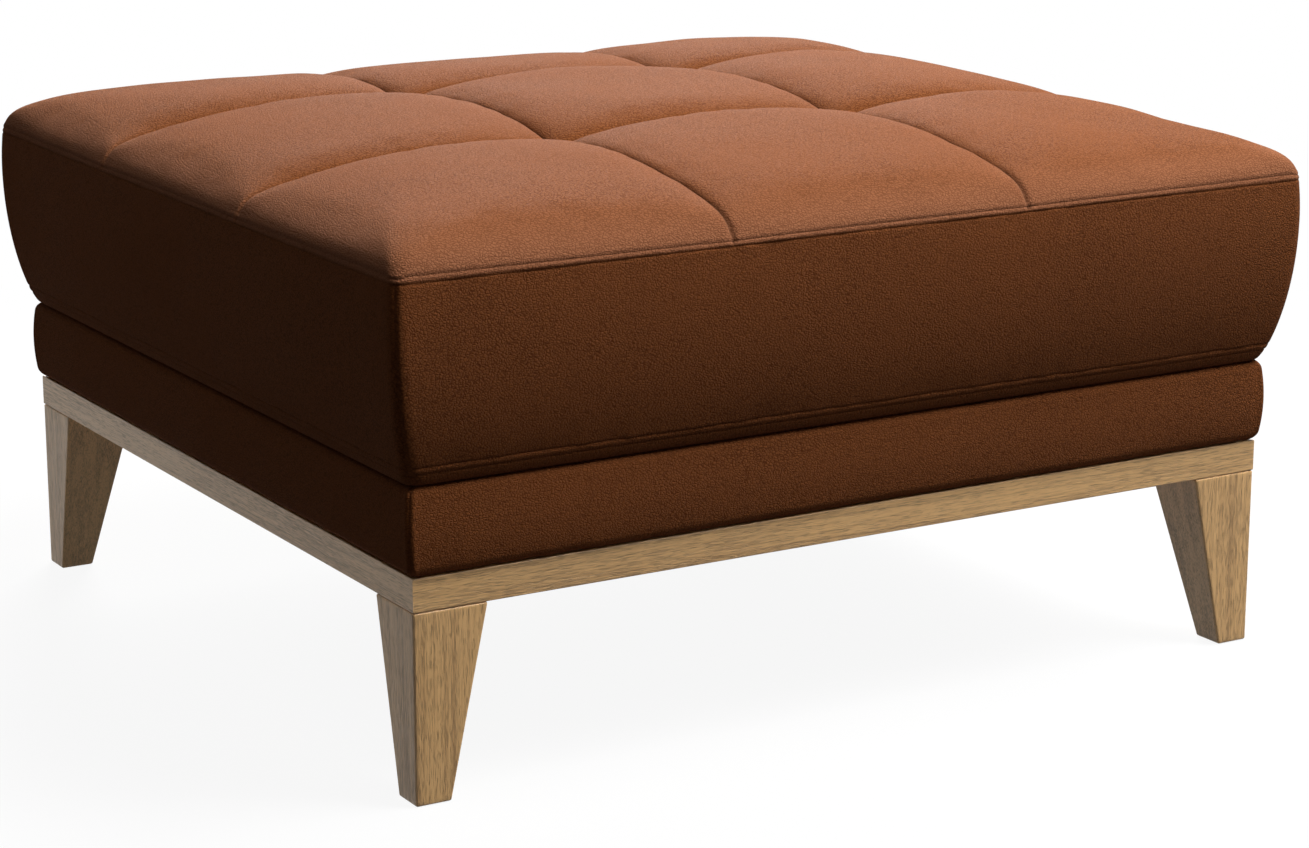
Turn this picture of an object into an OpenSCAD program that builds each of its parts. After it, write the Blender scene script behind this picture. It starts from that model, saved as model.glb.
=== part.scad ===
// A low upholstered footstool: a quilted leather cushion on a padded box,
// carried by a mitred oak plinth on four tapered legs.
// The origin is on the floor under the middle of the stool, and the front faces -Y.

/* [Plinth] */
// Outer width of the plinth, side to side
plinth_w = 755; // [640:5:960]
// Outer depth of the plinth, front to back
plinth_d = 710; // [640:5:960]
// Height of the plinth's boards
board_h = 25; // [20:1:40]
// Width of the plinth's boards, from the outer face inwards
board_w = 60; // [56:1:90]
// Rounding of the boards' outer edges
board_edge_r = 1; // [0.5:0.25:3]
// Diameter of the dowels across the mitres
dowel_d = 8; // [6:1:9]
// Length of the dowels
dowel_len = 28; // [20:1:30]
// Distance of the outer dowel from the plinth's corner, along each face
dowel_outer = 21; // [20:1:23]
// Distance of the inner dowel from the plinth's corner, along each face
dowel_inner = 43; // [38:1:45]

/* [Legs] */
// Length of a leg, from its foot to the plinth
leg_h = 142.5; // [90:0.5:220]
// Side of the square top of a leg
leg_top_w = 59; // [50:1:70]
// Side of the square foot of a leg
leg_foot_w = 28; // [24:1:46]
// Chamfer round the top and the foot of a leg
leg_chamfer = 1; // [0.5:0.25:2]
// Diameter of the glide under a leg
glide_d = 18; // [12:1:20]
// Thickness of the glide's disc
glide_t = 3; // [2:0.5:5]
// How far the glide stands out of the foot
glide_proud = 0.5; // [0.3:0.1:1.5]
// Diameter of the glide's nail
glide_nail_d = 2.5; // [1.5:0.5:4]
// Length of the glide's nail above the disc
glide_nail_len = 15; // [10:1:25]

/* [Screws] */
// Diameter of the screws that hold the legs
leg_screw_d = 5; // [4:0.5:6]
// Length of the screws that hold the legs
leg_screw_len = 60; // [50:5:80]
// Distance of a leg screw from the nearer outer face
leg_screw_near = 18; // [16:1:20]
// Distance of a leg screw from the farther outer face
leg_screw_far = 40; // [37:1:42]
// Diameter of the screws between the plinth and the box
plinth_screw_d = 4.5; // [4:0.5:6]
// Length of the screws between the plinth and the box
plinth_screw_len = 50; // [45:5:60]
// Distance between the two plinth screws along one side
plinth_screw_gap = 360; // [200:10:440]
// Diameter of the screws in the box frame
box_screw_d = 4; // [3.5:0.5:5]
// Length of the screws in the box frame
box_screw_len = 55; // [45:5:70]
// Clearance round a screw or a dowel in its hole
hole_fit = 0.1; // [0.05:0.05:0.3]

/* [Box] */
// How far the box frame stands back from the plinth's faces
box_inset = 6; // [5.5:0.5:9]
// Height of the box rails
box_rail_h = 62; // [54:1:90]
// Thickness of the box rails
box_rail_t = 22; // [18:1:30]
// Height of the stretcher across the middle of the box
stretcher_h = 40; // [32:1:48]
// Thickness of the stretcher
stretcher_t = 22; // [18:1:30]
// Length of a corner block along each rail
block_w = 50; // [35:1:70]
// Height of a corner block
block_h = 50; // [30:1:52]
// Thickness of the dust cover under the box
dust_cover_t = 1; // [0.5:0.1:2]
// How far the cloths over and under the box stop short of its outer faces
cloth_margin = 5; // [4:1:15]

/* [Webbing] */
// Width of a webbing strap
strap_w = 60; // [40:2:70]
// Thickness of a webbing strap
strap_t = 1.5; // [1:0.25:2.5]
// Number of straps each way
strap_count = 5; // [3:1:6]
// Distance of a strap's end from the outer face of its rail
strap_end = 4; // [2:1:10]
// Thickness of the deck cloth over the webbing
deck_cloth_t = 1; // [0.5:0.1:2]

/* [Band] */
// How far the padded band stands out of the plinth at half its height
band_bulge = 5.6; // [4:0.2:9]
// How far the band stands out of the plinth near its top and bottom
band_edge = 2.5; // [1:0.25:3.5]
// Rounding of the band's top and bottom edges
band_edge_r = 8; // [4:0.5:8.5]
// Rounding of the band's upright corners
band_corner_r = 8; // [5:0.5:12]
// Thickness of the leather
leather_t = 1.4; // [1:0.1:2]
// Clearance between the layers of the upholstery
layer_gap = 0.3; // [0.1:0.05:0.5]

/* [Cushion] */
// Height of the cushion's side, from the crease to the top seam
side_h = 145.5; // [110:0.5:190]
// Height of the lower seam above the crease
lower_seam_h = 13.8; // [10:0.2:24]
// Height at which the side is widest, above the crease
widest_h = 115; // [80:1:130]
// How far the side stands out of the plinth at the crease
side_out_foot = 2; // [1:0.25:4]
// How far the side stands out of the plinth where it is widest
side_out_widest = 22.5; // [14:0.5:32]
// How far the top seam lies inside the widest place
seam_tuck = 1.5; // [0.5:0.25:4]
// Rounding of the cushion's upright corners
cushion_corner_r = 12; // [6:0.5:18]
// Height of the foam's crown over its edge
foam_crown = 31; // [12:1:32]
// Depth of the foam's top edge below the top seam
foam_edge_drop = 6.5; // [4:0.5:12]
// Clearance between the foam's crown and the wadding
crown_gap = 0.8; // [0.6:0.1:1.2]

/* [Quilting] */
// Distance of the left channel from the middle
channel_left = 129.5; // [100:0.5:160]
// Distance of the right channel from the middle
channel_right = 129.5; // [100:0.5:160]
// Distance of the front channel from the middle
channel_front = 118; // [95:0.5:150]
// Distance of the back channel from the middle
channel_back = 143; // [95:0.5:150]
// Height of the places where two channels cross, above the top seam
crossing_h = 38; // [34:0.5:50]
// How far a channel arches up between two crossings
channel_arch = 16; // [6:0.5:26]
// How far a pillow's middle stands above the channels round it
pillow_rise = 5; // [1:0.5:12]

/* [Hidden] */
$fn = 48;

FRONT = 0;
RIGHT = 1;
BACK = 2;
LEFT = 3;

oak = [0.66, 0.53, 0.37];
pine = [0.85, 0.72, 0.5];
leather = [0.52, 0.27, 0.16];
steel = [0.7, 0.7, 0.72];
black_cloth = [0.16, 0.16, 0.17];
strap_colour = [0.35, 0.36, 0.34];
foam_colour = [0.93, 0.87, 0.7];
wadding_colour = [0.95, 0.95, 0.93];

// Heights of the layers, from the floor up
foot_z = glide_proud;
board_z = foot_z + leg_h;
plinth_top = board_z + board_h;
box_z = plinth_top + dust_cover_t;
box_top = box_z + box_rail_h;
deck_z = box_top + 2 * strap_t;
crease_z = deck_z + deck_cloth_t;
lower_seam_z = crease_z + lower_seam_h;
widest_z = crease_z + widest_h;
seam_z = crease_z + side_h;
base_floor_z = crease_z + leather_t;
foam_edge_z = seam_z - foam_edge_drop;

// The screws' heads, as wide as two shanks
function head_d(d) = 2 * d;
// A screw in the box frame lies this far from the edge of the rail
box_screw_edge = 12;
// How far a cut runs past the face that it opens
cut_over = 0.5;

// Sides of the stool, counted round from the front
function span(side) = side % 2 == 0 ? plinth_w : plinth_d;
function across(side) = side % 2 == 0 ? plinth_d : plinth_w;

// Turns a piece made for the front round to any side.
// Along the side is x, y runs inwards from the plinth's outer face.
module at_side(side) {
    rotate([0, 0, 90 * side])
        translate([0, -across(side) / 2, 0])
            children();
}

// Places a piece at a corner of the plinth, with x and y running inwards from its two faces
module at_corner(right, back) {
    mirror([right, 0, 0])
        mirror([0, back, 0])
            translate([-plinth_w / 2, -plinth_d / 2, 0])
                children();
}

module at_all_corners() {
    for (right = [0, 1])
        for (back = [0, 1])
            at_corner(right, back)
                children();
}

// A countersunk screw with its head at the origin, pointing down
module screw(length, d) {
    cone_h = (head_d(d) - d) / 2;
    rotate_extrude()
        polygon([[0, 0], [head_d(d) / 2, 0], [d / 2, -cone_h], [d / 2, d - length], [0, -length]]);
}

// The hole for such a screw
module screw_hole(length, d) {
    cone_h = (head_d(d) - d) / 2;
    wide = head_d(d) / 2 + hole_fit;
    narrow = d / 2 + hole_fit;
    rotate_extrude()
        polygon([[0, cut_over], [wide, cut_over], [wide, 0], [narrow, -cone_h],
            [narrow, -length - hole_fit], [0, -length - hole_fit]]);
}

// Screws down through the boards into the legs, two to a leg
module at_leg_screws() {
    at_all_corners() {
        translate([leg_screw_near, leg_screw_far, plinth_top])
            children();
        translate([leg_screw_far, leg_screw_near, plinth_top])
            children();
    }
}

// Screws up through the boards into the box rails
module at_plinth_screws() {
    for (side = [FRONT : LEFT])
        at_side(side)
            for (x = [-1, 1] * plinth_screw_gap / 2)
                translate([x, box_inset + box_rail_t / 2, board_z])
                    rotate([180, 0, 0])
                        children();
}

// Screws through the front and back rails into the ends of the side rails and the stretcher
module at_box_screws() {
    rail_mid = plinth_w / 2 - box_inset - box_rail_t / 2;
    for (side = [FRONT, BACK])
        at_side(side) {
            for (x = [-rail_mid, rail_mid])
                for (z = [box_z + box_screw_edge, box_top - box_screw_edge])
                    translate([x, box_inset, z])
                        rotate([90, 0, 0])
                            children();
            for (z = [box_z + box_screw_edge, box_z + stretcher_h - box_screw_edge])
                translate([0, box_inset, z])
                    rotate([90, 0, 0])
                        children();
        }
}

// Dowels across the mitres, at half the boards' height
module at_dowels() {
    at_all_corners()
        for (c = [dowel_outer, dowel_inner])
            translate([c, c, board_z + board_h / 2])
                rotate([0, 90, -45])
                    children();
}

// The cross-section of a board: u runs inwards from the outer face
function board_section(r) = concat(
    [for (a = [270 : -22.5 : 180]) [r + r * cos(a), r + r * sin(a)]],
    [for (a = [180 : -22.5 : 90]) [r + r * cos(a), board_h - r + r * sin(a)]],
    [[board_w, board_h], [board_w, 0]]);

module plinth_rail(side) {
    half = span(side) / 2;
    color(oak)
        difference() {
            at_side(side)
                translate([0, 0, board_z])
                    intersection() {
                        translate([-half, 0, 0])
                            rotate([90, 0, 90])
                                linear_extrude(2 * half)
                                    polygon(board_section(board_edge_r));
                        linear_extrude(board_h)
                            polygon([[-half, 0], [half, 0], [half - board_w, board_w],
                                [board_w - half, board_w]]);
                    }
            at_leg_screws()
                screw_hole(leg_screw_len, leg_screw_d);
            at_plinth_screws()
                screw_hole(plinth_screw_len, plinth_screw_d);
            at_dowels()
                cylinder(h = dowel_len + 2 * hole_fit, d = dowel_d + 2 * hole_fit, center = true);
        }
}

// The outline of a leg seen from one side: plumb outside, tapered inside
function leg_inner(z) = leg_foot_w + (leg_top_w - leg_foot_w) * z / leg_h;
function leg_outline(c) = [[c, 0], [leg_foot_w - c, 0], [leg_inner(c), c],
    [leg_inner(leg_h - c), leg_h - c], [leg_top_w - c, leg_h], [c, leg_h], [0, leg_h - c], [0, c]];

module leg(right, back) {
    color(oak)
        difference() {
            at_corner(right, back)
                translate([0, 0, foot_z])
                    difference() {
                        intersection() {
                            translate([0, leg_top_w, 0])
                                rotate([90, 0, 0])
                                    linear_extrude(leg_top_w)
                                        polygon(leg_outline(leg_chamfer));
                            rotate([90, 0, 90])
                                linear_extrude(leg_top_w)
                                    polygon(leg_outline(leg_chamfer));
                        }
                        at_foot_middle()
                            glide_hole();
                    }
            at_leg_screws()
                screw_hole(leg_screw_len, leg_screw_d);
        }
}

module at_foot_middle() {
    translate([leg_foot_w / 2, leg_foot_w / 2, 0])
        children();
}

module glide_hole() {
    sunk = glide_t - glide_proud;
    translate([0, 0, -cut_over])
        cylinder(h = cut_over + sunk, d = glide_d + 2 * hole_fit);
    cylinder(h = sunk + glide_nail_len + hole_fit, d = glide_nail_d + 2 * hole_fit);
}

module leg_glides() {
    color(steel)
        at_all_corners()
            at_foot_middle() {
                cylinder(h = glide_t, d = glide_d);
                cylinder(h = glide_t + glide_nail_len, d = glide_nail_d);
            }
}

module leg_screws() {
    color(steel)
        at_leg_screws()
            screw(leg_screw_len, leg_screw_d);
}

module mitre_dowels() {
    color(pine)
        at_dowels()
            cylinder(h = dowel_len, d = dowel_d, center = true);
}

module plinth_screws() {
    color(steel)
        at_plinth_screws()
            screw(plinth_screw_len, plinth_screw_d);
}

// The front and back box rails run through, the side rails stand between them
module box_rail(side) {
    end = side % 2 == 0 ? box_inset : box_inset + box_rail_t;
    length = span(side) - 2 * end;
    color(pine)
        difference() {
            at_side(side)
                translate([-length / 2, box_inset, box_z])
                    cube([length, box_rail_t, box_rail_h]);
            at_plinth_screws()
                screw_hole(plinth_screw_len, plinth_screw_d);
            at_box_screws()
                screw_hole(box_screw_len, box_screw_d);
        }
}

module box_stretcher() {
    length = plinth_d - 2 * (box_inset + box_rail_t);
    color(pine)
        difference() {
            translate([-stretcher_t / 2, -length / 2, box_z])
                cube([stretcher_t, length, stretcher_h]);
            at_box_screws()
                screw_hole(box_screw_len, box_screw_d);
        }
}

module box_corner_blocks() {
    corner = box_inset + box_rail_t;
    color(pine)
        at_all_corners()
            translate([corner, corner, box_z])
                linear_extrude(block_h)
                    polygon([[0, 0], [block_w, 0], [0, block_w]]);
}

module box_screws() {
    color(steel)
        at_box_screws()
            screw(box_screw_len, box_screw_d);
}

// A flat cloth as large as the box frame, less its margin all round
module box_sheet(z, thickness) {
    edge = 2 * (box_inset + cloth_margin);
    translate([0, 0, z + thickness / 2])
        cube([plinth_w - edge, plinth_d - edge, thickness], center = true);
}

module dust_cover() {
    color(black_cloth)
        difference() {
            box_sheet(plinth_top, dust_cover_t);
            at_plinth_screws()
                screw_hole(plinth_screw_len, plinth_screw_d);
        }
}

module deck_cloth() {
    color(black_cloth)
        box_sheet(deck_z, deck_cloth_t);
}

// Straps are spread evenly over the box's opening
function strap_pitch(opening) = opening / strap_count;
function strap_place(k, opening) = (k - (strap_count - 1) / 2) * strap_pitch(opening);
inner_w = plinth_w - 2 * (box_inset + box_rail_t);
inner_d = plinth_d - 2 * (box_inset + box_rail_t);

// The path of one strap: it lies on the rails at both ends and goes over and under the others
function strap_path(k, first_over, half, opening) = concat(
    [[-half, 0]],
    [for (m = [0 : strap_count - 1])
        for (edge = [-1, 1])
            [strap_place(m, opening) + edge * (strap_w / 2 + 2 * strap_t),
                (k + m + first_over) % 2 == 0 ? strap_t : 0]],
    [[half, 0]]);

module strap(path) {
    back_again = [for (k = [len(path) - 1 : -1 : 0]) path[k] + [0, strap_t]];
    linear_extrude(strap_w)
        polygon(concat(path, back_again));
}

module webbing_crosswise() {
    half = plinth_w / 2 - box_inset - strap_end;
    color(strap_colour)
        for (k = [0 : strap_count - 1])
            translate([0, strap_place(k, inner_d) + strap_w / 2, box_top])
                rotate([90, 0, 0])
                    strap(strap_path(k, 0, half, inner_w));
}

module webbing_lengthwise() {
    half = plinth_d / 2 - box_inset - strap_end;
    color(strap_colour)
        for (k = [0 : strap_count - 1])
            translate([strap_place(k, inner_w) - strap_w / 2, 0, box_top])
                rotate([90, 0, 90])
                    strap(strap_path(k, 1, half, inner_d));
}

// Faces of a closed sheet made of two grids of points, one behind the other. Seen from outside,
// the rows follow each other upwards and each row runs to the right.
function both_ways(a, b, c, d) = [[a, b, c], [a, c, d]];
function sheet_faces(rows, cols) = let (
    back = rows * cols,
    last_row = (rows - 1) * cols,
    last_col = cols - 1)
    [for (i = [0 : rows - 2])
        for (j = [0 : cols - 2])
            let (p = i * cols + j)
                for (f = concat(
                    both_ways(p, p + cols, p + cols + 1, p + 1),
                    both_ways(back + p, back + p + 1, back + p + cols + 1, back + p + cols)))
                    f,
    for (j = [0 : cols - 2])
        for (f = concat(
            both_ways(j, j + 1, back + j + 1, back + j),
            both_ways(last_row + j, back + last_row + j, back + last_row + j + 1, last_row + j + 1)))
            f,
    for (i = [0 : rows - 2])
        let (p = i * cols)
            for (f = concat(
                both_ways(p, back + p, back + p + cols, p + cols),
                both_ways(p + last_col, p + cols + last_col, back + p + cols + last_col,
                    back + p + last_col)))
                f];

// The plan of one side of a padded cover: straight, with half of each rounded corner.
// out is how far it stands out of the plinth, and the ends meet the next side's on a mitre.
corner_step = 22.5;
function plan_line(half, out, r) = concat(
    [for (a = [45 : corner_step : 90]) [-(half + out - r) - r * cos(a), r - out - r * sin(a)]],
    [for (a = [90 : -corner_step : 45]) [half + out - r + r * cos(a), r - out - r * sin(a)]]);

// A thin panel over one side. Each section is a list of [out, z], outside and inside the leather.
module side_panel(side, outer, inner, r) {
    half = span(side) / 2;
    rows = len(outer);
    points = [
        for (s = outer) for (p = plan_line(half, s[0], r)) [p[0], p[1], s[1]],
        for (s = inner) for (p = plan_line(half, s[0], r - leather_t)) [p[0], p[1], s[1]]];
    at_side(side)
        polyhedron(points, sheet_faces(rows, len(plan_line(half, 0, r))));
}

// The section of the padded band, a depth below its surface: it bulges, and rolls in at both
// edges until the leather is nearly flat on the wood
band_mid = (plinth_top + crease_z) / 2;
band_half = (crease_z - plinth_top) / 2;
band_r = min(band_edge_r, box_inset + band_edge);
function band_out(z) = band_edge + (band_bulge - band_edge) * (1 - pow((z - band_mid) / band_half, 2));
function band_point(depth, angle, centre_z) = let (z = centre_z + (band_r - depth) * sin(angle))
    [band_out(z) - band_r + (band_r - depth) * cos(angle), z];
roll_end = 75;
roll_step = 25;
function band_section(depth) = concat(
    [for (a = [-roll_end : roll_step : 0]) band_point(depth, a, plinth_top + band_r)],
    [[band_out(band_mid) - depth, band_mid]],
    [for (a = [0 : roll_step : roll_end]) band_point(depth, a, crease_z - band_r)]);

module band_cover(side) {
    color(leather)
        side_panel(side, band_section(0), band_section(leather_t), band_corner_r);
}

// Padding between the box rails and the cover. It stops where the cover's corners start to round.
module band_padding(side) {
    skin = leather_t + layer_gap;
    length = span(side) - 2 * (box_inset + band_corner_r);
    section = [for (s = band_section(skin)) [-s[0], s[1]]];
    back = [[box_inset, section[len(section) - 1][1]], [box_inset, section[0][1]]];
    color(foam_colour)
        at_side(side)
            translate([-length / 2, 0, 0])
                rotate([90, 0, 90])
                    linear_extrude(length)
                        polygon(concat(section, back));
}

// How far the cushion's side stands out at height z: it swells from the crease to the widest
// place and turns in a little under the top seam
swell_power = 0.74;
function side_out(z) = z < widest_z
    ? side_out_foot + (side_out_widest - side_out_foot)
        * pow(max(0, 1 - pow((widest_z - z) / widest_h, 2)), swell_power)
    : side_out_widest - seam_tuck * pow((z - widest_z) / (seam_z - widest_z), 2);
// The steps of a section lie closer together at its lower end by this power
section_power = 1.2;
function side_section(z0, z1, steps, depth) =
    [for (k = [0 : steps])
        let (z = z0 + (z1 - z0) * pow(k / steps, section_power))
            [side_out(z) - depth, z]];
seam_out = side_out(seam_z);

module boxing(side) {
    steps = 12;
    color(leather)
        side_panel(side, side_section(lower_seam_z, seam_z, steps, 0),
            side_section(lower_seam_z, seam_z, steps, leather_t), cushion_corner_r);
}

// A closed ring round the cushion at one height
function plan_ring(out, r) = [
    for (side = [FRONT : LEFT])
        for (p = plan_line(span(side) / 2, out, r))
            let (x = p[0], y = p[1] - across(side) / 2, c = cos(90 * side), s = sin(90 * side))
                [x * c - y * s, x * s + y * c]];
// Each side ends where the next one starts, so the last point of every side is left out
ring_side = 6;
function open_ring(ring) = [for (k = [0 : len(ring) - 1]) if (k % ring_side != ring_side - 1) ring[k]];
function ring_at(out, z, r) = [for (p = open_ring(plan_ring(out, r))) [p[0], p[1], z]];
function between_rings(low, high, n) =
    [for (k = [0 : n - 1])
        for (f = both_ways(low + k, high + k, high + (k + 1) % n, low + (k + 1) % n))
            f];
function fan_up(first, n) = [for (k = [1 : n - 2]) [first, first + k + 1, first + k]];
function fan_down(first, n) = [for (k = [1 : n - 2]) [first, first + k, first + k + 1]];

// The cushion's leather underside, turned up to the lower seam
module cushion_base() {
    steps = 3;
    inner_r = cushion_corner_r - leather_t;
    outer = side_section(crease_z, lower_seam_z, steps, 0);
    inner = side_section(base_floor_z, lower_seam_z, steps, leather_t);
    points = [
        for (s = outer) for (p = ring_at(s[0], s[1], cushion_corner_r)) p,
        for (k = [steps : -1 : 0]) for (p = ring_at(inner[k][0], inner[k][1], inner_r)) p];
    n = len(ring_at(0, 0, cushion_corner_r));
    faces = concat(
        fan_down(0, n),
        [for (k = [0 : 2 * steps]) for (f = between_rings(k * n, (k + 1) * n, n)) f],
        fan_up((2 * steps + 1) * n, n));
    color(leather)
        polyhedron(points, faces);
}

// Grid lines over the cushion's top: close together in the roll of the edge and at the channels
third = 8;
last_line = 3 * third;
edge_lines = third - 2;
edge_line_power = 1.1;
function edge_inset(k, length, r) =
    k == 0 ? 0 :
    k == 1 ? r * (1 - tan(corner_step)) :
    r + (length - r) * (1 - cos(180 * pow((k - 2) / edge_lines, edge_line_power))) / 2;
function grid_line(k, half, low, high, r) =
    k <= third ? edge_inset(k, half + low, r) - half :
    k >= 2 * third ? half - edge_inset(last_line - k, half - high, r) :
    low + (high - low) * (1 - cos(180 * (k - third) / third)) / 2;
function line_x(k, out, r) = grid_line(k, plinth_w / 2 + out, -channel_left, channel_right, r);
function line_y(k, out, r) = grid_line(k, plinth_d / 2 + out, -channel_front, channel_back, r);

// Pulls the points in a square corner in onto its arc
function to_arc(x, y, out, r) = let (
    px = abs(x) - (plinth_w / 2 + out - r),
    py = abs(y) - (plinth_d / 2 + out - r),
    far = max(px, py),
    pull = min(px, py) > 0 ? far / norm([px, py]) : 1,
    nx = px > 0 ? px * pull : px,
    ny = py > 0 ? py * pull : py)
    [sign(x) * (plinth_w / 2 + out - r + nx), sign(y) * (plinth_d / 2 + out - r + ny)];

// Across a panel between two channels, 0 at both and 1 midway, steep beside the channels
pillow_power = 0.72;
function pillow(t) = pow(sin(180 * t), pillow_power);
// Over an edge panel, from 1 on the outer half down to 0 at the channel
function edge_pillow(t) = t < 0.5 ? 1 : pillow(t);
// The roll of the edge, from 0 at the top seam to 1 at the first channel, steep at the seam
roll_bend = 1.13;
roll_power = 0.29;
function edge_roll(t) = pow(1 - pow(1 - min(t, 1), roll_bend), roll_power);
// Where two rolls meet in a corner, the lower one counts, blended a little with the other
corner_blend = 5;
function both_rolls(a, b) =
    1 - min(1, pow(pow(1 - a, corner_blend) + pow(1 - b, corner_blend), 1 / corner_blend));
// Both, along one axis: [pillow, roll] at distance v from the middle, with the channels at low and high
function along(v, half, low, high) =
    v < low ? let (t = (v + half) / (low + half)) [edge_pillow(t), edge_roll(t)] :
    v > high ? let (t = (half - v) / (half - high)) [edge_pillow(t), edge_roll(t)] :
    [pillow((v - low) / (high - low)), 1];

// Height of the quilted leather over (x, y)
function quilt_height(x, y) = let (
    ax = along(x, plinth_w / 2 + seam_out, -channel_left, channel_right),
    ay = along(y, plinth_d / 2 + seam_out, -channel_front, channel_back),
    both = (channel_arch - pillow_rise) / channel_arch,
    inner = crossing_h + channel_arch * (ax[0] + ay[0] - both * ax[0] * ay[0]))
    seam_z + inner * both_rolls(ax[1], ay[1]);

// A point of the quilted surface, a depth below the leather's face. At the rim the layers stand
// upright beside one another, so there the depth counts inwards only.
function on_rim(i, j) = min(i, j) == 0 || max(i, j) == last_line;
function quilt_point(i, j, depth) = let (
    x = line_x(i, seam_out, cushion_corner_r),
    y = line_y(j, seam_out, cushion_corner_r),
    r = cushion_corner_r - depth,
    out = seam_out - depth,
    p = to_arc(line_x(i, out, r), line_y(j, out, r), out, r))
    [p[0], p[1], quilt_height(x, y) - (on_rim(i, j) ? 0 : depth)];

// The foam's gently crowned top
function foam_height(x, y) = foam_edge_z + foam_crown
    * (1 - pow(x / (plinth_w / 2 + seam_out), 2)) * (1 - pow(y / (plinth_d / 2 + seam_out), 2));

// The leather top is a plain cap: it rolls over the edge and bridges the channels from crest to
// crest, while the wadding under it has the pillows. Its outline along one axis, a depth below:
crest_h = crossing_h + channel_arch + pillow_rise;
crest_lines = [for (k = [0 : last_line]) if (k <= third || k >= 2 * third) k];
function crest_outline(half, low, high, depth) = concat(
    [for (k = crest_lines)
        let (
            v = grid_line(k, half, low, high, cushion_corner_r),
            rise = crest_h * along(v, half, low, high)[1])
            [grid_line(k, half - depth, low, high, cushion_corner_r - depth),
                seam_z + (on_rim(k, k) ? 0 : rise - depth)]],
    depth == 0 ? [] : [[half - depth, seam_z - cut_over], [depth - half, seam_z - cut_over]]);

module crest_block(depth) {
    half_w = plinth_w / 2 + seam_out;
    half_d = plinth_d / 2 + seam_out;
    intersection() {
        translate([0, half_d, 0])
            rotate([90, 0, 0])
                linear_extrude(2 * half_d)
                    polygon(crest_outline(half_w, -channel_left, channel_right, depth));
        translate([-half_w, 0, 0])
            rotate([90, 0, 90])
                linear_extrude(2 * half_w)
                    polygon(crest_outline(half_d, -channel_front, channel_back, depth));
        translate([0, 0, seam_z - cut_over])
            linear_extrude(crest_h + 2 * cut_over)
                polygon(open_ring(plan_ring(seam_out - depth, cushion_corner_r - depth)));
    }
}

module quilted_top() {
    color(leather)
        difference() {
            crest_block(0);
            crest_block(leather_t);
        }
}

module quilt_wadding() {
    depth = leather_t + layer_gap;
    points = [
        for (j = [0 : last_line]) for (i = [0 : last_line]) quilt_point(i, j, depth),
        for (j = [0 : last_line]) for (i = [0 : last_line])
            let (p = quilt_point(i, j, depth)) [p[0], p[1], foam_height(p[0], p[1]) + crown_gap]];
    color(wadding_colour)
        polyhedron(points, sheet_faces(last_line + 1, last_line + 1));
}

// The foam core: its sides follow the leather, its top is a coarser grid on the same lines
foam_cells = last_line / 2;
function foam_ring_cell(q) =
    q < foam_cells ? [q, 0] :
    q < 2 * foam_cells ? [foam_cells, q - foam_cells] :
    q < 3 * foam_cells ? [3 * foam_cells - q, foam_cells] :
    [0, 4 * foam_cells - q];
function foam_point(i, j, out) = let (r = cushion_corner_r - leather_t - layer_gap)
    to_arc(line_x(2 * i, out, r), line_y(2 * j, out, r), out, r);

module foam_core() {
    depth = leather_t + layer_gap;
    steps = 8;
    n = 4 * foam_cells;
    side = side_section(base_floor_z, foam_edge_z, steps, depth);
    top_first = steps * n;
    function top_index(c) = top_first + c[0] * (foam_cells + 1) + c[1];
    points = [
        for (k = [0 : steps - 1])
            for (q = [0 : n - 1])
                let (c = foam_ring_cell(q), p = foam_point(c[0], c[1], side[k][0]))
                    [p[0], p[1], side[k][1]],
        for (i = [0 : foam_cells]) for (j = [0 : foam_cells])
            let (p = foam_point(i, j, side[steps][0])) [p[0], p[1], foam_height(p[0], p[1])]];
    last_ring = (steps - 1) * n;
    faces = concat(
        fan_down(0, n),
        [for (k = [0 : steps - 2]) for (f = between_rings(k * n, (k + 1) * n, n)) f],
        [for (q = [0 : n - 1])
            for (f = both_ways(last_ring + q, top_index(foam_ring_cell(q)),
                top_index(foam_ring_cell((q + 1) % n)), last_ring + (q + 1) % n))
                f],
        [for (i = [0 : foam_cells - 1]) for (j = [0 : foam_cells - 1])
            for (f = both_ways(top_index([i, j]), top_index([i, j + 1]),
                top_index([i + 1, j + 1]), top_index([i + 1, j])))
                f]);
    color(foam_colour)
        polyhedron(points, faces);
}

plinth_rail(FRONT);  // rail_front
plinth_rail(RIGHT);  // rail_right
plinth_rail(BACK);  // rail_back
plinth_rail(LEFT);  // rail_left
leg(0, 0);  // leg_front_left
leg(1, 0);  // leg_front_right
leg(0, 1);  // leg_back_left
leg(1, 1);  // leg_back_right
leg_glides();
leg_screws();
mitre_dowels();
plinth_screws();
box_rail(FRONT);  // box_rail_front
box_rail(RIGHT);  // box_rail_right
box_rail(BACK);  // box_rail_back
box_rail(LEFT);  // box_rail_left
box_stretcher();
box_corner_blocks();
box_screws();
dust_cover();
webbing_crosswise();
webbing_lengthwise();
deck_cloth();
band_padding(FRONT);  // band_padding_front
band_padding(RIGHT);  // band_padding_right
band_padding(BACK);  // band_padding_back
band_padding(LEFT);  // band_padding_left
band_cover(FRONT);  // band_cover_front
band_cover(RIGHT);  // band_cover_right
band_cover(BACK);  // band_cover_back
band_cover(LEFT);  // band_cover_left
cushion_base();
foam_core();
quilt_wadding();
quilted_top();
boxing(FRONT);  // boxing_front
boxing(RIGHT);  // boxing_right
boxing(BACK);  // boxing_back
boxing(LEFT);  // boxing_left
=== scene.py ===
"""Looks of a low footstool: a quilted leather cushion on a padded band, an oak plinth and four tapered legs.

Every piece is a surface worked out with numpy in metres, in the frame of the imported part. The front faces -Y
and the floor is z = 0. A side is worked out as the front and turned to its place by quarter turns.
"""
import math

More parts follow.
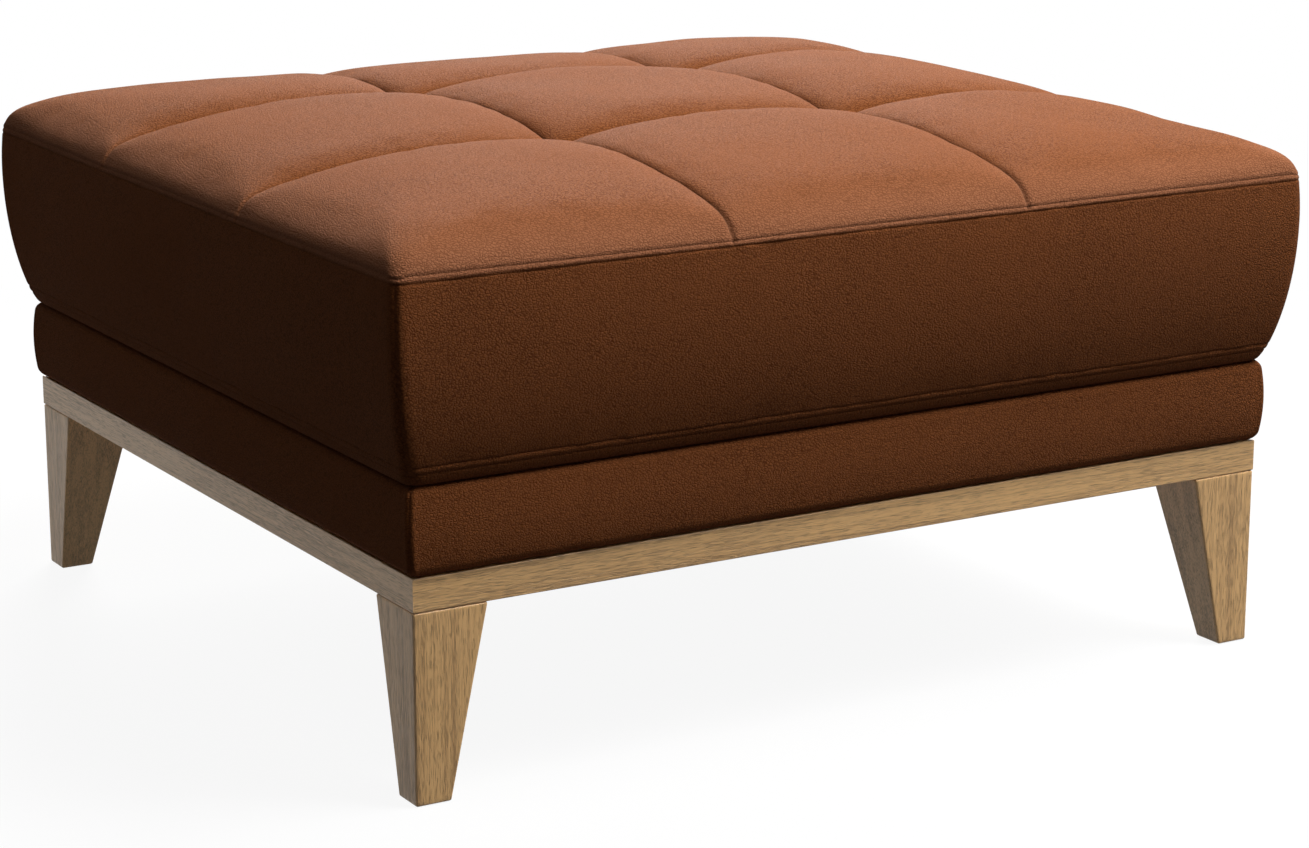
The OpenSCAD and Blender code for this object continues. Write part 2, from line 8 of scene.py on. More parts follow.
import bpy
import numpy as np
from bpy.props import FloatProperty, FloatVectorProperty, PointerProperty
from bpy.types import Operator, Panel, PropertyGroup
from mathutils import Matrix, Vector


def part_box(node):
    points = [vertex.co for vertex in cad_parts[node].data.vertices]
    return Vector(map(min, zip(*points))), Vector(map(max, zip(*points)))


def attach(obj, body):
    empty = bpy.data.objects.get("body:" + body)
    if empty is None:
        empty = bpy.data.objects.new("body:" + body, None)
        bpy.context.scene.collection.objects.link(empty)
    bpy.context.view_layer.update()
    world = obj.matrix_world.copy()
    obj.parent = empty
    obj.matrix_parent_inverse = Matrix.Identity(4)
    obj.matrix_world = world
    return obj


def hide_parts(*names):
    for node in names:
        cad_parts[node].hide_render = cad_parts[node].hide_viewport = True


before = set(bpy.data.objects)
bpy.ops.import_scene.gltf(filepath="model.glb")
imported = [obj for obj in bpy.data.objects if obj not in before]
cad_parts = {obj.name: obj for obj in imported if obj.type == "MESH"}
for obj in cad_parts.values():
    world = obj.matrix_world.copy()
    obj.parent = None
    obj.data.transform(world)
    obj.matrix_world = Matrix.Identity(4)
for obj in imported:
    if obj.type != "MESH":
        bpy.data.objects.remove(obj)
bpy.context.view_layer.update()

bl_info = {
    "name": "Footstool",
    "version": (1, 0, 0),
    "blender": (4, 5, 0),
    "location": "3D View > Sidebar > Footstool",
    "description": "Builds a quilted leather footstool on an oak plinth",
    "category": "Add Mesh",
}

SIDES = ("front", "right", "back", "left")
CORNERS = {"front_left": (0, 0), "front_right": (1, 0), "back_left": (0, 1), "back_right": (1, 1)}


def box_round(stem):
    """Lowest and highest corner of the four nodes that share a stem, one on each side."""
    boxes = [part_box(f"{stem}_{side}") for side in SIDES]
    return np.min([low for low, high in boxes], axis=0), np.max([high for low, high in boxes], axis=0)


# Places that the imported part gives
BOARDS_LOW, BOARDS_HIGH = box_round("rail")
BOXING_LOW, BOXING_HIGH = box_round("boxing")
HALF_W, HALF_D = BOARDS_HIGH[:2]
BOARD_Z, BOARD_TOP = BOARDS_LOW[2], BOARDS_HIGH[2]
BOARD_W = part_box("rail_front")[1].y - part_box("rail_front")[0].y
FOOT_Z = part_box("leg_front_left")[0].z
CREASE_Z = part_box("cushion_base")[0].z
LOWER_SEAM_Z, SEAM_Z = BOXING_LOW[2], BOXING_HIGH[2]
FOAM_LOW, FOAM_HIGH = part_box("foam_core")

# How far the top seam, the widest place and the band stand out of the plinth
SEAM_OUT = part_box("quilted_top")[1].x - HALF_W
WIDEST_OUT = BOXING_HIGH[0] - HALF_W
BAND_OUT = box_round("band_cover")[1][0] - HALF_W

# Half the width and depth of the cushion at its top seam
TOP_HALF_W, TOP_HALF_D = HALF_W + SEAM_OUT, HALF_D + SEAM_OUT


def number(name, default, description, **kind):
    """A number that a user may change."""
    return FloatProperty(name=name, default=default, description=description, **kind)


def metres(name, default, description):
    """A length that a user may change."""
    return number(name, default, description, unit="LENGTH", subtype="DISTANCE", precision=4)


def watts(name, default, description):
    """The power of a lamp, which a user may change."""
    return number(name, default, description, unit="POWER")


def colour(name, default, description):
    """A colour that a user may change."""
    return FloatVectorProperty(name=name, default=default, description=description, subtype="COLOR", size=3,
                               min=0, max=1)


class OakSettings(PropertyGroup):
    foot_w: metres("Foot", 0.028, "Side of the square foot of a leg")
    top_w: metres("Top", 0.059, "Side of the square top of a leg")
    edge: metres("Edges", 0.0016, "Rounding of the edges of the legs and boards")
    light: colour("Light wood", (0.98, 0.585, 0.235), "Early wood between the pores")
    dark: colour("Dark wood", (0.60, 0.325, 0.123), "Late wood of the growth rings")
    pore: colour("Pores", (0.24, 0.125, 0.055), "Open pores and fine streaks")


class LeatherSettings(PropertyGroup):
    thickness: metres("Thickness", 0.0014, "Thickness of the leather")
    pebble: metres("Pebbles", 0.0019, "Size of the grain's pebbles")
    pebble_depth: metres("Pebble depth", 0.0004, "Depth of the creases between the pebbles")
    top: colour("Pebble tops", (0.270, 0.088, 0.027), "Tops of the pebbles")
    crease: colour("Creases", (0.145, 0.044, 0.013), "Creases between the pebbles")
    # The rubbed edge colour is partly rubbed wear and partly a painted highlight on the rolled edge.
    worn: colour("Rubbed edge", (0.35, 0.142, 0.072), "Pebbles rubbed pale along the rolled edge")
    # Painted shade: a near-black colour laid into the seams, the stitched lines and the channels.
    seam: colour("Seams", (0.020, 0.007, 0.003), "Deep in the seams")
    stitch_in: metres("Stitch line", 0.0043, "Distance of the stitched line from the seam")
    seam_depth: metres("Seam depth", 0.0004, "Depth of the grooves at the seams")
    seam_width: metres("Seam width", 0.00068, "Half width of the grooves at the seams")
    base_stitch: metres("Lower stitch line", 0.0053, "Distance of the stitched line below the lower seam")


class CushionSettings(PropertyGroup):
    corner: metres("Corners", 0.011, "Rounding of the upright corners")
    widest_z: metres("Widest", 0.115, "Height of the widest place above the crease")
    foot_out: metres("Foot of the side", 0.002, "How far the side stands out of the plinth at the crease")
    channel_x: metres("Side channels", 0.1295, "Distance of the left and right channels from the middle")
    channel_front: metres("Front channel", 0.118, "Distance of the front channel from the middle")
    channel_back: metres("Back channel", 0.143, "Distance of the back channel from the middle")
    crossing: metres("Crossings", 0.0397, "Height of the channels' crossings above the top seam")
    arch: metres("Arch", 0.016, "How far a channel arches up between two crossings")
    rise: metres("Pillows", 0.0035, "How far a pillow's middle stands above the channels' arches")
    tuck: metres("Tuck", 0.0036, "Depth of the sharp tuck along a channel")
    tuck_reach: metres("Tuck reach", 0.0036, "Distance over which the tuck fades away")
    dip: metres("Valley", 0.0061, "Depth of the wider valley along a crosswise channel")
    dip_reach: metres("Valley reach", 0.013, "Distance over which that valley fades away")
    settle: metres("Settling", 0.0015, "Longest move of the leather in the cloth simulation")
    cloth_cell: metres("Cloth cells", 0.010, "Size of the cells of the simulated cloth")


class BandSettings(PropertyGroup):
    roll: metres("Rolled edges", 0.008, "Radius of the rolled upper and lower edges")
    edge_out: metres("Edge", 0.0025, "How far the band stands out of the plinth at its edges")
    corner: metres("Corners", 0.005, "Rounding of the upright corners")


class StageSettings(PropertyGroup):
    key: watts("Overhead", 118.0, "Power of the soft box overhead")
    side: watts("Front right", 52.0, "Power of the light at the front right")
    back: watts("Behind", 520.0, "Power of the low light behind")
    left: watts("Left", 9.0, "Power of the light high on the left")
    room: number("Room", 0.02, "Strength of the light from all round")
    glow: number("White floor", 0.92, "Share of the floor's white that no shadow dims")
    paper: colour("Paper", (0.85, 0.85, 0.85), "Colour of the floor as it is seen")
    bounce: colour("Bounce", (0.055, 0.055, 0.055), "Colour of the floor for the light that it throws back")


def settings(name):
    """One of the five groups of settings of this scene."""
    return getattr(bpy.context.scene, f"footstool_{name}")


# Shapes

# Smallest number that a length is divided by
TINY = 1e-12


def turned(points, side):
    """Points worked out for the front, turned about z to another side."""
    c, s = ((1, 0), (0, 1), (-1, 0), (0, -1))[SIDES.index(side)]
    x, y, z = points[..., 0], points[..., 1], points[..., 2]
    return np.stack([c * x - s * y, s * x + c * y, z], axis=-1)


def halves(side):
    """Half the plinth's length along a side, and half its depth across it."""
    return (HALF_W, HALF_D) if side in ("front", "back") else (HALF_D, HALF_W)


def ramp(value, reach):
    """0 at 0, 1 from the reach on, and a straight line between them."""
    return np.clip(value / reach, 0, 1)


def fade(value, reach, start=0.0):
    """0 at the start, 1 from the reach past it on, and a smooth step between them."""
    t = ramp(value - start, reach)
    return t * t * (3 - 2 * t)


def growing(value, reach, least, gain):
    """The least amount at 0, which gains the rest up to the reach along a smooth step."""
    return least + gain * fade(value, reach)


def decay(distance, reach, share=1.0):
    """A share at a line, fading away from it as exp(-distance / reach)."""
    return share * np.exp(-distance / reach)


def ridge(distance, height, width, beside=0.0):
    """A rounded ridge beside a line: height * exp(-((distance - beside) / width)^2)."""
    return height * np.exp(-((distance - beside) / width) ** 2)


def groove(distance, depth, width):
    """A rounded groove along a line, as a ridge turned down."""
    return -ridge(distance, depth, width)


def painted_shade_line(distance, darkness, width=0.0006):
    """Painted shade along a seam, a stitched line or a channel, of the same form as a ridge."""
    return ridge(distance, darkness, width)


def graded(length, marks, fine, coarse, reach, samples=400):
    """Places from 0 to length with a place on every mark, fine steps beside the marks and coarse ones away from
    them. Each stretch between two marks is divided by the sum of 1/step over its samples, where the step grows
    from fine to coarse over the reach."""
    stops = sorted({0.0, *marks, length})
    places = [np.zeros(1)]
    for low, high in zip(stops, stops[1:]):
        s = np.linspace(low, high, samples)
        near = np.min([np.abs(s - m) for m in marks], axis=0)
        step = fine + (coarse - fine) * ramp(near, reach)
        count = np.concatenate([[0], np.cumsum((1 / step[1:] + 1 / step[:-1]) / 2 * np.diff(s))])
        steps = max(int(math.ceil(count[-1])), 1)
        places.append(np.interp(np.linspace(0, count[-1], steps + 1)[1:], count, s))
    return np.concatenate(places)


def soft_noise(x, y, size, seed, count=127, start=40.0):
    """Smooth bumps from -1 to 1: random heights on a lattice of the given size, joined by smooth steps. It
    repeats after count cells, and the middle of the piece lies start cells inside it."""
    rng = np.random.default_rng(seed)
    lattice = rng.uniform(-1, 1, (count + 1, count + 1))
    u, v = x / size + start, y / size + start
    i, j = np.floor(u).astype(int), np.floor(v).astype(int)
    a, b = u - i, v - j
    a, b = a * a * (3 - 2 * a), b * b * (3 - 2 * b)
    i, j = i % count, j % count
    low = lattice[i, j] * (1 - a) + lattice[i + 1, j] * a
    high = lattice[i, j + 1] * (1 - a) + lattice[i + 1, j + 1] * a
    return low * (1 - b) + high * b


def normals(grid):
    """Unit normals of a grid of points, from the cross product of the steps along its rows and columns."""
    n = np.cross(np.gradient(grid, axis=1), np.gradient(grid, axis=0))
    return n / np.maximum(np.linalg.norm(n, axis=-1, keepdims=True), TINY)


def skins(base, push):
    """The two faces of the leather: the surface pushed along its normals, and the same less the thickness."""
    facing = normals(base)
    outer = base + push[..., None] * facing
    return outer, outer - settings("leather").thickness * facing


def cells(rows, cols, wrap=False):
    """Four-sided faces of a grid whose rows go up and whose columns go right, seen from outside."""
    i, j = np.meshgrid(np.arange(rows - 1), np.arange(cols if wrap else cols - 1), indexing="ij")
    k = (j + 1) % cols
    return np.stack([i * cols + j, i * cols + k, (i + 1) * cols + k, (i + 1) * cols + j], -1).reshape(-1, 4)


def mesh_object(name, points, faces, smooth_below=40):
    """An object with the given points and faces, smooth where neighbouring faces turn less than an angle."""
    mesh = bpy.data.meshes.new(name)
    mesh.from_pydata(points.tolist(), [], faces)
    mesh.polygons.foreach_set("use_smooth", np.ones(len(mesh.polygons), bool))
    mesh.set_sharp_from_angle(angle=math.radians(smooth_below))
    mesh.update()
    made = bpy.data.objects.new(name, mesh)
    bpy.context.scene.collection.objects.link(made)
    return made


def closed_sheet(name, outer, inner):
    """A thin closed skin: the outer grid, the inner grid behind it, and a rim round both."""
    rows, cols = outer.shape[:2]
    front = cells(rows, cols)
    index = np.arange(rows * cols).reshape(rows, cols)
    rim = np.concatenate([index[0, :-1], index[:-1, -1], index[-1, :0:-1], index[:0:-1, 0]])
    following = np.roll(rim, -1)
    behind = rows * cols
    edge = np.stack([following, rim, rim + behind, following + behind], -1)
    faces = np.concatenate([front, front[:, ::-1] + behind, edge])
    points = np.concatenate([outer.reshape(-1, 3), inner.reshape(-1, 3)])
    return mesh_object(name, points, faces.tolist())


def closed_tube(name, rings, smooth_below=40):
    """A closed body of rings that run anticlockwise seen from above and follow each other upwards on its outside,
    with a flat cap on the first and the last."""
    rows, cols = rings.shape[:2]
    side = cells(rows, cols, wrap=True)
    bottom = list(range(cols))[::-1]
    top = list(range((rows - 1) * cols, rows * cols))
    return mesh_object(name, rings.reshape(-1, 3), side.tolist() + [bottom, top], smooth_below)


def give(obj, grid, **layers):
    """Stores numbers for the points of a grid as attributes that a material reads. In a closed skin the points
    of the inner face come after those of the outer one and take the same numbers."""
    for name, values in layers.items():
        layer = obj.data.attributes.new(name, "FLOAT", "POINT")
        values = np.broadcast_to(values, grid.shape[:2]).astype(np.float32)
        layer.data.foreach_set("value", np.resize(values, len(layer.data)))


def finish_piece(obj, material, slot, *nodes):
    """Puts a piece on the body, gives it its material and hides the nodes that it stands for."""
    obj.data.materials.append(material)
    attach(obj, "root")
    if nodes:
        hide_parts(*nodes)
    return obj


# Materials


class Nodes:
    """The node tree of a material or of the world."""

    def __init__(self, owner):
        owner.use_nodes = True
        self.owner, self.tree = owner, owner.node_tree
        self.tree.nodes.clear()

    def add(self, kind, sets=None, out=0, **sockets):
        """Adds a node of a kind, sets its settings, then its sockets. A socket is named with _ for a space, or
        by its number after an i, and takes a number, a colour, a vector or a Value."""
        node = self.tree.nodes.new("ShaderNode" + kind)
        for key, value in (sets or {}).items():
            setattr(node, key, value)
        for key, value in sockets.items():
            numbered = key[0] == "i" and key[1:].isdigit()
            socket = node.inputs[int(key[1:]) if numbered else key.replace("_", " ")]
            if isinstance(value, Value):
                self.tree.links.new(value.socket, socket)
            elif socket.type == "RGBA" and len(value) == 3:
                socket.default_value = (*value, 1)
            else:
                socket.default_value = value
        return Value(self, node.outputs[out])

    def math(self, operation, a, b=0.0):
        """One operation on one or two numbers."""
        return self.add("Math", {"operation": operation}, i0=a, i1=b)

    def vector(self, operation, a, out=0, **sockets):
        """One operation on one or more vectors."""
        return self.add("VectorMath", {"operation": operation}, out, i0=a, **sockets)

    def place(self):
        """The place of a point on its piece, in metres."""
        return self.add("TexCoord", None, "Object")

    def attribute(self, name):
        """A number that the piece holds for each point."""
        return self.add("Attribute", {"attribute_name": name}, "Fac")

    def noise(self, place, scale, detail, out="Fac", **sockets):
        """Cloudy noise with so many clouds to a metre, and so many finer layers."""
        return self.add("TexNoise", None, out, Vector=place, Scale=scale, Detail=detail, **sockets)

    def stretched(self, place, along, length, width):
        """Places in which a pattern is drawn out along one axis, to a length and a width in metres."""
        scale = [1 / width] * 3
        scale[along] = 1 / length
        return self.vector("MULTIPLY", place, i1=tuple(scale))

    def mix(self, share, a, b):
        """A colour between two colours."""
        return self.add("Mix", {"data_type": "RGBA"}, 2, i0=share, i6=a, i7=b)

    def steps(self, value, low, high):
        """0 below low, 1 above high and a smooth step between them."""
        return self.add("MapRange", {"interpolation_type": "SMOOTHSTEP"}, i0=value, i1=low, i2=high)

    def finish(self, shade, rough, height, depth, strength=1.0, **sockets):
        """The shader itself on the material's output, with a colour, a roughness and a relief of some depth."""
        bump = self.add("Bump", None, "Normal", Strength=strength, Distance=depth, Height=height)
        shader = self.add("BsdfPrincipled", None, 0, Base_Color=shade, Roughness=rough, Normal=bump, **sockets)
        return self.output(shader)

    def output(self, shader, kind="OutputMaterial"):
        """Puts a shader on the output and gives back the material or the world."""
        node = self.tree.nodes.new("ShaderNode" + kind)
        self.tree.links.new(shader.socket, node.inputs["Surface"])
        return self.owner


class Value:
    """A socket of a material. Arithmetic on it adds Math nodes."""

    def __init__(self, nodes, socket):
        self.nodes, self.socket = nodes, socket

    def __add__(self, other):
        return self.nodes.math("ADD", self, other)

    def __sub__(self, other):
        return self.nodes.math("SUBTRACT", self, other)

    def __rsub__(self, other):
        return self.nodes.math("SUBTRACT", other, self)

    def __mul__(self, other):
        return self.nodes.math("MULTIPLY", self, other)

    __radd__ = __add__
    __rmul__ = __mul__


def new_material(name):
    """The empty node tree of a new material."""
    return Nodes(bpy.data.materials.new(name))


# Materials of the footstool

# The direction in which the leather's pebbles are drawn out
GRAIN_RUN = (0.85, -0.45, -0.27)


def leather():
    """Cognac leather: pebbles a couple of millimetres across with finer ones among them, drawn out along one
    direction, with darker creases and cloudy dye. A piece's attributes say where shade is painted into its seams
    and channels, where it is gathered into folds, and where its rolled edge is paled, partly as rubbed wear and
    partly as a painted highlight. The relief sums pebbles, wrinkles, folds and specks, each times its depth."""
    look = settings("leather")
    n = new_material("cognac_leather")
    stretch, wander, smaller = 1.6, 0.0022, 2.3
    wrinkle_depth, fold_depth, speck_depth = 0.00018, 0.0004, 0.00004
    place = n.place()
    along = n.vector("DOT_PRODUCT", place, "Value", i1=GRAIN_RUN)
    shift = n.vector("SCALE", GRAIN_RUN, Scale=along * (1 / stretch - 1))
    drawn = n.vector("ADD", place, i1=shift)
    wobble = n.noise(drawn, 260.0, 2.0, "Color")
    bent = n.vector("MULTIPLY_ADD", wobble, i1=(wander, wander, wander), i2=drawn)
    edge, fine = (n.add("TexVoronoi", {"feature": "DISTANCE_TO_EDGE"}, "Distance", Vector=bent, Scale=count)
                  for count in (1 / look.pebble, smaller / look.pebble))
    cloud, speck = n.noise(place, 9.0, 3.0), n.noise(place, 900.0, 2.0)
    ripple = n.noise(drawn, 330.0, 3.0, Roughness=0.6)
    folds = n.noise(drawn, 130.0, 2.0, Roughness=0.6)
    # The first attribute is painted shade in the seams and channels; the third pales the rolled edge, partly as
    # rubbed wear and partly as a painted highlight.
    seam, pucker, rubbed = n.attribute("crease"), n.attribute("pucker"), n.attribute("rubbed")
    pebbles, small = n.steps(edge, 0.0, 0.2), n.steps(fine, 0.0, 0.25)
    wrinkles = 1 - n.math("ABSOLUTE", ripple - 0.5) * 5
    grain = pebbles * 0.8 + small * 0.2
    shade = n.steps(grain * 0.8 + (cloud - 0.5) * 0.3 + (speck - 0.5) * 0.25, 0.0, 0.9)
    hide = n.mix(shade, look.crease, look.top)
    warm = n.mix(n.steps(cloud, 0.35, 0.7) * 0.35, hide, (0.215, 0.066, 0.019))
    # The colour with its painted light: the rolled edge paled towards the rubbed edge colour, partly as a painted
    # highlight, and near-black painted shade in the seams and channels.
    dye_highlight_and_shade = n.mix(seam, n.mix(rubbed * (0.45 + shade * 0.45), warm, look.worn), look.seam)
    height = grain * look.pebble_depth + wrinkles * wrinkle_depth
    height = height + folds * pucker * fold_depth + speck * speck_depth
    rough = 0.62 + (1 - grain) * 0.16 + (cloud - 0.5) * 0.12 + seam * 0.2
    return n.finish(dye_highlight_and_shade, rough, height, 1.0, Specular_IOR_Level=0.007, Sheen_Weight=0.04, Sheen_Roughness=0.55,
                    Sheen_Tint=(1.0, 0.92, 0.85, 1.0))


def oak(name, along):
    """Oiled oak with its grain along one axis: growth rings as long soft bands, fine fibres, and open pores as
    short dark dashes that crowd together in the early wood."""
    look = settings("oak")
    n = new_material(name)
    place = n.place()
    rings = n.noise(n.stretched(place, along, 0.42, 0.011), 1.0, 2.5, Distortion=0.6)
    fibres = n.noise(n.stretched(place, along, 0.035, 0.0009), 1.0, 2.0)
    dashes = n.noise(n.stretched(place, along, 0.011, 0.00042), 1.0, 1.0)
    streaks = n.noise(n.stretched(place, along, 0.12, 0.0018), 1.0, 3.0)
    patches = n.noise(place, 14.0, 2.0)
    band = n.steps(rings, 0.36, 0.66)
    pores = n.steps(dashes + band * 0.08 + (streaks - 0.5) * 0.25, 0.57, 0.72)
    wood = n.mix(band * 0.45 + (fibres - 0.5) * 1.9 + (streaks - 0.5) * 0.8, look.light, look.dark)
    tinted = n.mix((patches - 0.35) * 0.25, wood, (0.36, 0.26, 0.17))
    shown = n.mix(pores * 0.42, tinted, look.pore)
    rough = 0.50 + (fibres - 0.5) * 0.2 + pores * 0.2
    return n.finish(shown, rough, fibres * 0.5 - pores * 0.9, 0.0005, Coat_Weight=0.5, Coat_Roughness=0.35)


def softwood(name, along):
    """Planed softwood of the hidden frame: broad rings and fine fibres along one axis."""
    n = new_material(name)
    drawn = n.stretched(n.place(), along, 1 / 3, 1 / 70)
    rings, fibres = n.noise(drawn, 1.0, 3.0, Distortion=0.4), n.noise(drawn, 14.0, 2.0)
    share = n.steps(rings, 0.35, 0.65) * 0.7 + (fibres - 0.5) * 0.5
    wood = n.mix(share, (0.72, 0.52, 0.30), (0.52, 0.33, 0.16))
    return n.finish(wood, 0.6 + (fibres - 0.5) * 0.2, fibres, 0.0003, 0.5)


def cloth():
    """Black non-woven cloth: bonded fibres and a faint pattern of pressed dots."""
    n = new_material("black_cloth")
    place = n.place()
    fibre = n.noise(place, 1400.0, 3.0)
    dots = n.add("TexVoronoi", None, "Distance", Vector=place, Scale=420.0, Randomness=0.15)
    pressed = n.steps(dots, 0.15, 0.4)
    shade = n.mix(fibre * 0.6 + pressed * 0.4, (0.010, 0.010, 0.011), (0.045, 0.045, 0.048))
    return n.finish(shade, 0.82 + fibre * 0.12, fibre * 0.5 + pressed, 0.00015)


def woven_webbing():
    """Elastic webbing: a tight plain weave, as the product of a sine along x and one along y."""
    n = new_material("woven_webbing")
    place, turns = n.place(), 3100.0
    warp, weft = (n.math("SINE", n.add("SeparateXYZ", None, axis, Vector=place) * turns) for axis in "XY")
    weave = warp * weft * 0.5 + 0.5
    worn = n.noise(place, 60.0, 3.0)
    shade = n.mix(weave * 0.7 + worn * 0.3, (0.035, 0.034, 0.033), (0.13, 0.125, 0.12))
    return n.finish(shade, 0.75 + worn * 0.15, weave, 0.0003)


def foam():
    """Open-cell foam, slightly yellowed."""
    n = new_material("foam")
    place = n.place()
    cell = n.add("TexVoronoi", None, "Distance", Vector=place, Scale=700.0)
    cloud = n.noise(place, 8.0, 2.0)
    shade = n.mix(n.steps(cell, 0.1, 0.6) * 0.6 + cloud * 0.4, (0.62, 0.52, 0.30), (0.88, 0.82, 0.62))
    return n.finish(shade, 0.9 + cloud * 0.08, cell, 0.0004)


def wadding():
    """White polyester wadding: loose fibres."""
    n = new_material("wadding")
    fibre = n.noise(n.place(), 500.0, 4.0, Distortion=2.0)
    return n.finish(n.mix(fibre, (0.70, 0.70, 0.68), (0.93, 0.93, 0.91)), 0.9 + fibre * 0.08, fibre, 0.0006)


def zinc():
    """Zinc-plated steel of the screws, slightly blotched."""
    n = new_material("zinc_plated_steel")
    blotch = n.noise(n.place(), 240.0, 3.0)
    shade = n.mix(blotch, (0.46, 0.46, 0.47), (0.68, 0.68, 0.70))
    return n.finish(shade, 0.28 + blotch * 0.2, blotch, 0.0001, 0.4, Metallic=1.0)


def nylon():
    """Moulded nylon of the glides, scuffed underneath."""
    n = new_material("nylon_glide")
    scuff = n.noise(n.place(), 380.0, 4.0)
    shade = n.mix(n.steps(scuff, 0.45, 0.7), (0.72, 0.71, 0.67), (0.50, 0.49, 0.46))
    return n.finish(shade, 0.5 + scuff * 0.25, scuff, 0.0001, 0.5)


def shared(name, make):
    """A material by name, made at its first use."""
    return bpy.data.materials.get(name) or make()


# The cushion's form

# Half of the quarter turn of an upright corner
HALF_CORNER = math.radians(45)

# Length of the puckers along a seam, and how far they reach from it
PUCKER_LENGTH, PUCKER_REACH = 0.013, 0.012


def side_out(z, power=0.74):
    """How far the cushion's side stands out of the plinth at a height: from the foot it swells to the widest
    place as (1 - (distance below it / its height)^2)^power, and above it draws in with the distance's square."""
    look = settings("cushion")
    widest_z = CREASE_Z + look.widest_z
    swell = np.maximum(0, 1 - ((widest_z - z) / look.widest_z) ** 2) ** power
    low = look.foot_out + (WIDEST_OUT - look.foot_out) * swell
    high = WIDEST_OUT - (WIDEST_OUT - SEAM_OUT) * ((z - widest_z) / (SEAM_Z - widest_z)) ** 2
    return np.where(z < widest_z, low, high)


def side_columns(side, corner, fine=0.0005, coarse=0.0036, reach=0.02):
    """Columns of one side from one upright seam to the next: the place along the straight part from -1 to 1, the
    angle turned round the corner, and the distance from the nearer upright seam."""
    half, arc = halves(side)[0], corner * HALF_CORNER
    s = graded(arc + half, [0.0], fine, coarse, reach)
    straight = np.clip((s - arc) / half, 0, 1) - 1
    angle = -np.clip((arc - s) / corner, 0, None)
    return (np.concatenate([straight, -straight[-2::-1]]), np.concatenate([angle, -angle[-2::-1]]),
            np.concatenate([s, s[-2::-1]]))


def side_grid(side, out, z, corner, columns):
    """A side worked out as the front: each row stands out of the plinth by its own amount, runs straight, and
    turns half of the rounded corner at both ends."""
    half, across = halves(side)
    straight, angle, _ = columns
    out, z = out[:, None], z[:, None]
    x = straight * (half + out - corner) + corner * np.sin(angle)
    y = -(across + out - corner) - corner * np.cos(angle)
    return np.stack([x, y, z + 0 * x], axis=-1)


def round_ring(out, z, corner):
    """One level ring round the cushion, standing out of the plinth, anticlockwise."""
    ring = []
    for side in SIDES:
        columns = side_columns(side, settings("cushion").corner, fine=0.002, coarse=0.02)
        ring.append(turned(side_grid(side, np.array([out]), np.array([z]), corner, columns)[0, :-1], side))
    return np.concatenate(ring)


def side_skin(name, side, out, z, corner, seams, puckers, seed):
    """The leather over one side. The rows and columns are pushed along the surface's normals: into the seams,
    out beside them, in fine puckers that fade away from the seams, and in slow soft waves. A level seam is given
    by its distance up the leather and its depth."""
    look = settings("leather")
    columns = side_columns(side, corner)
    base = side_grid(side, out, z, corner, columns)
    up = np.concatenate([[0], np.cumsum(np.hypot(np.diff(out), np.diff(z)))])
    to_edge = np.minimum(up, up[-1] - up)[:, None]
    to_corner = columns[2][None, :]
    along = base[..., 0]
    push = groove(to_corner, look.seam_depth, look.seam_width)
    push = push + ridge(to_corner, height=0.0004, width=0.0018, beside=0.003)
    # Painted shade along the upright corner seam and along each level seam.
    dark, gathered = painted_shade_line(to_corner, 0.05), decay(to_corner, reach=0.006, share=0.5)
    for seam_up, depth in seams:
        d = np.abs(up[:, None] - seam_up)
        push = push + groove(d, depth, look.seam_width)
        push = push + ridge(d, height=0.15 * depth, width=0.0015, beside=0.0026)
        dark, gathered = np.maximum(dark, painted_shade_line(d, 0.04)), np.maximum(gathered, decay(d, reach=0.007))
    inside = 1 - ridge(to_corner, height=1.0, width=0.02)
    pucker_height, wave_height, wave_length = puckers * 0.00045, inside * 0.0007 * puckers, 0.11
    folds = soft_noise(along, 0 * along, PUCKER_LENGTH, seed) * decay(to_edge, PUCKER_REACH)
    push = push + pucker_height * folds * inside
    waves = wave_height * soft_noise(along, base[..., 2], wave_length, seed + 1)
    push = push + waves * ramp(to_edge, reach=0.02)
    outer, inner = skins(base, push)
    made = closed_sheet(name, turned(outer, side), turned(inner, side))
    give(made, outer, crease=dark, pucker=gathered)
    return made


# The quilting's form

# The edge's roll: its height above the seam, its reach from the seam, and how softly it starts
EDGE_RISE, ROLL_REACH, EDGE_START = 0.0565, 0.255, 0.0050

# How much rounder the corners of the rings inside the seam grow with each metre inwards, the frames of the cloth
# simulation, and the height of the foam's crown
CORNER_GROWTH, CLOTH_FRAMES, FOAM_CROWN = 0.9, 20, 0.031


def edge_roll(t, power=0.29, inner_power=1.13):
    """The roll of the edge, from 0 at the seam to 1 at its end: (1 - (1 - t)^inner power)^power."""
    return (1 - (1 - np.clip(t, 0, 1)) ** inner_power) ** power


def pillow(t, power=0.72):
    """Across a panel between two channels: sin(180 degrees t)^power, steep beside the channels."""
    return np.clip(np.sin(np.pi * np.clip(t, 0, 1)), 0, 1) ** power


def across_panels(v, half, low, high):
    """The pillow across one axis, 1 on the outer half of an edge panel, and the share of an edge panel crossed."""
    t = np.where(v < low, (v + half) / (low + half), (half - v) / (half - high))
    edge = np.where(t < 0.5, 1.0, pillow(t))
    middle = (v >= low) & (v <= high)
    return np.where(middle, pillow((v - low) / (high - low)), edge), np.where(middle, 1.0, t)


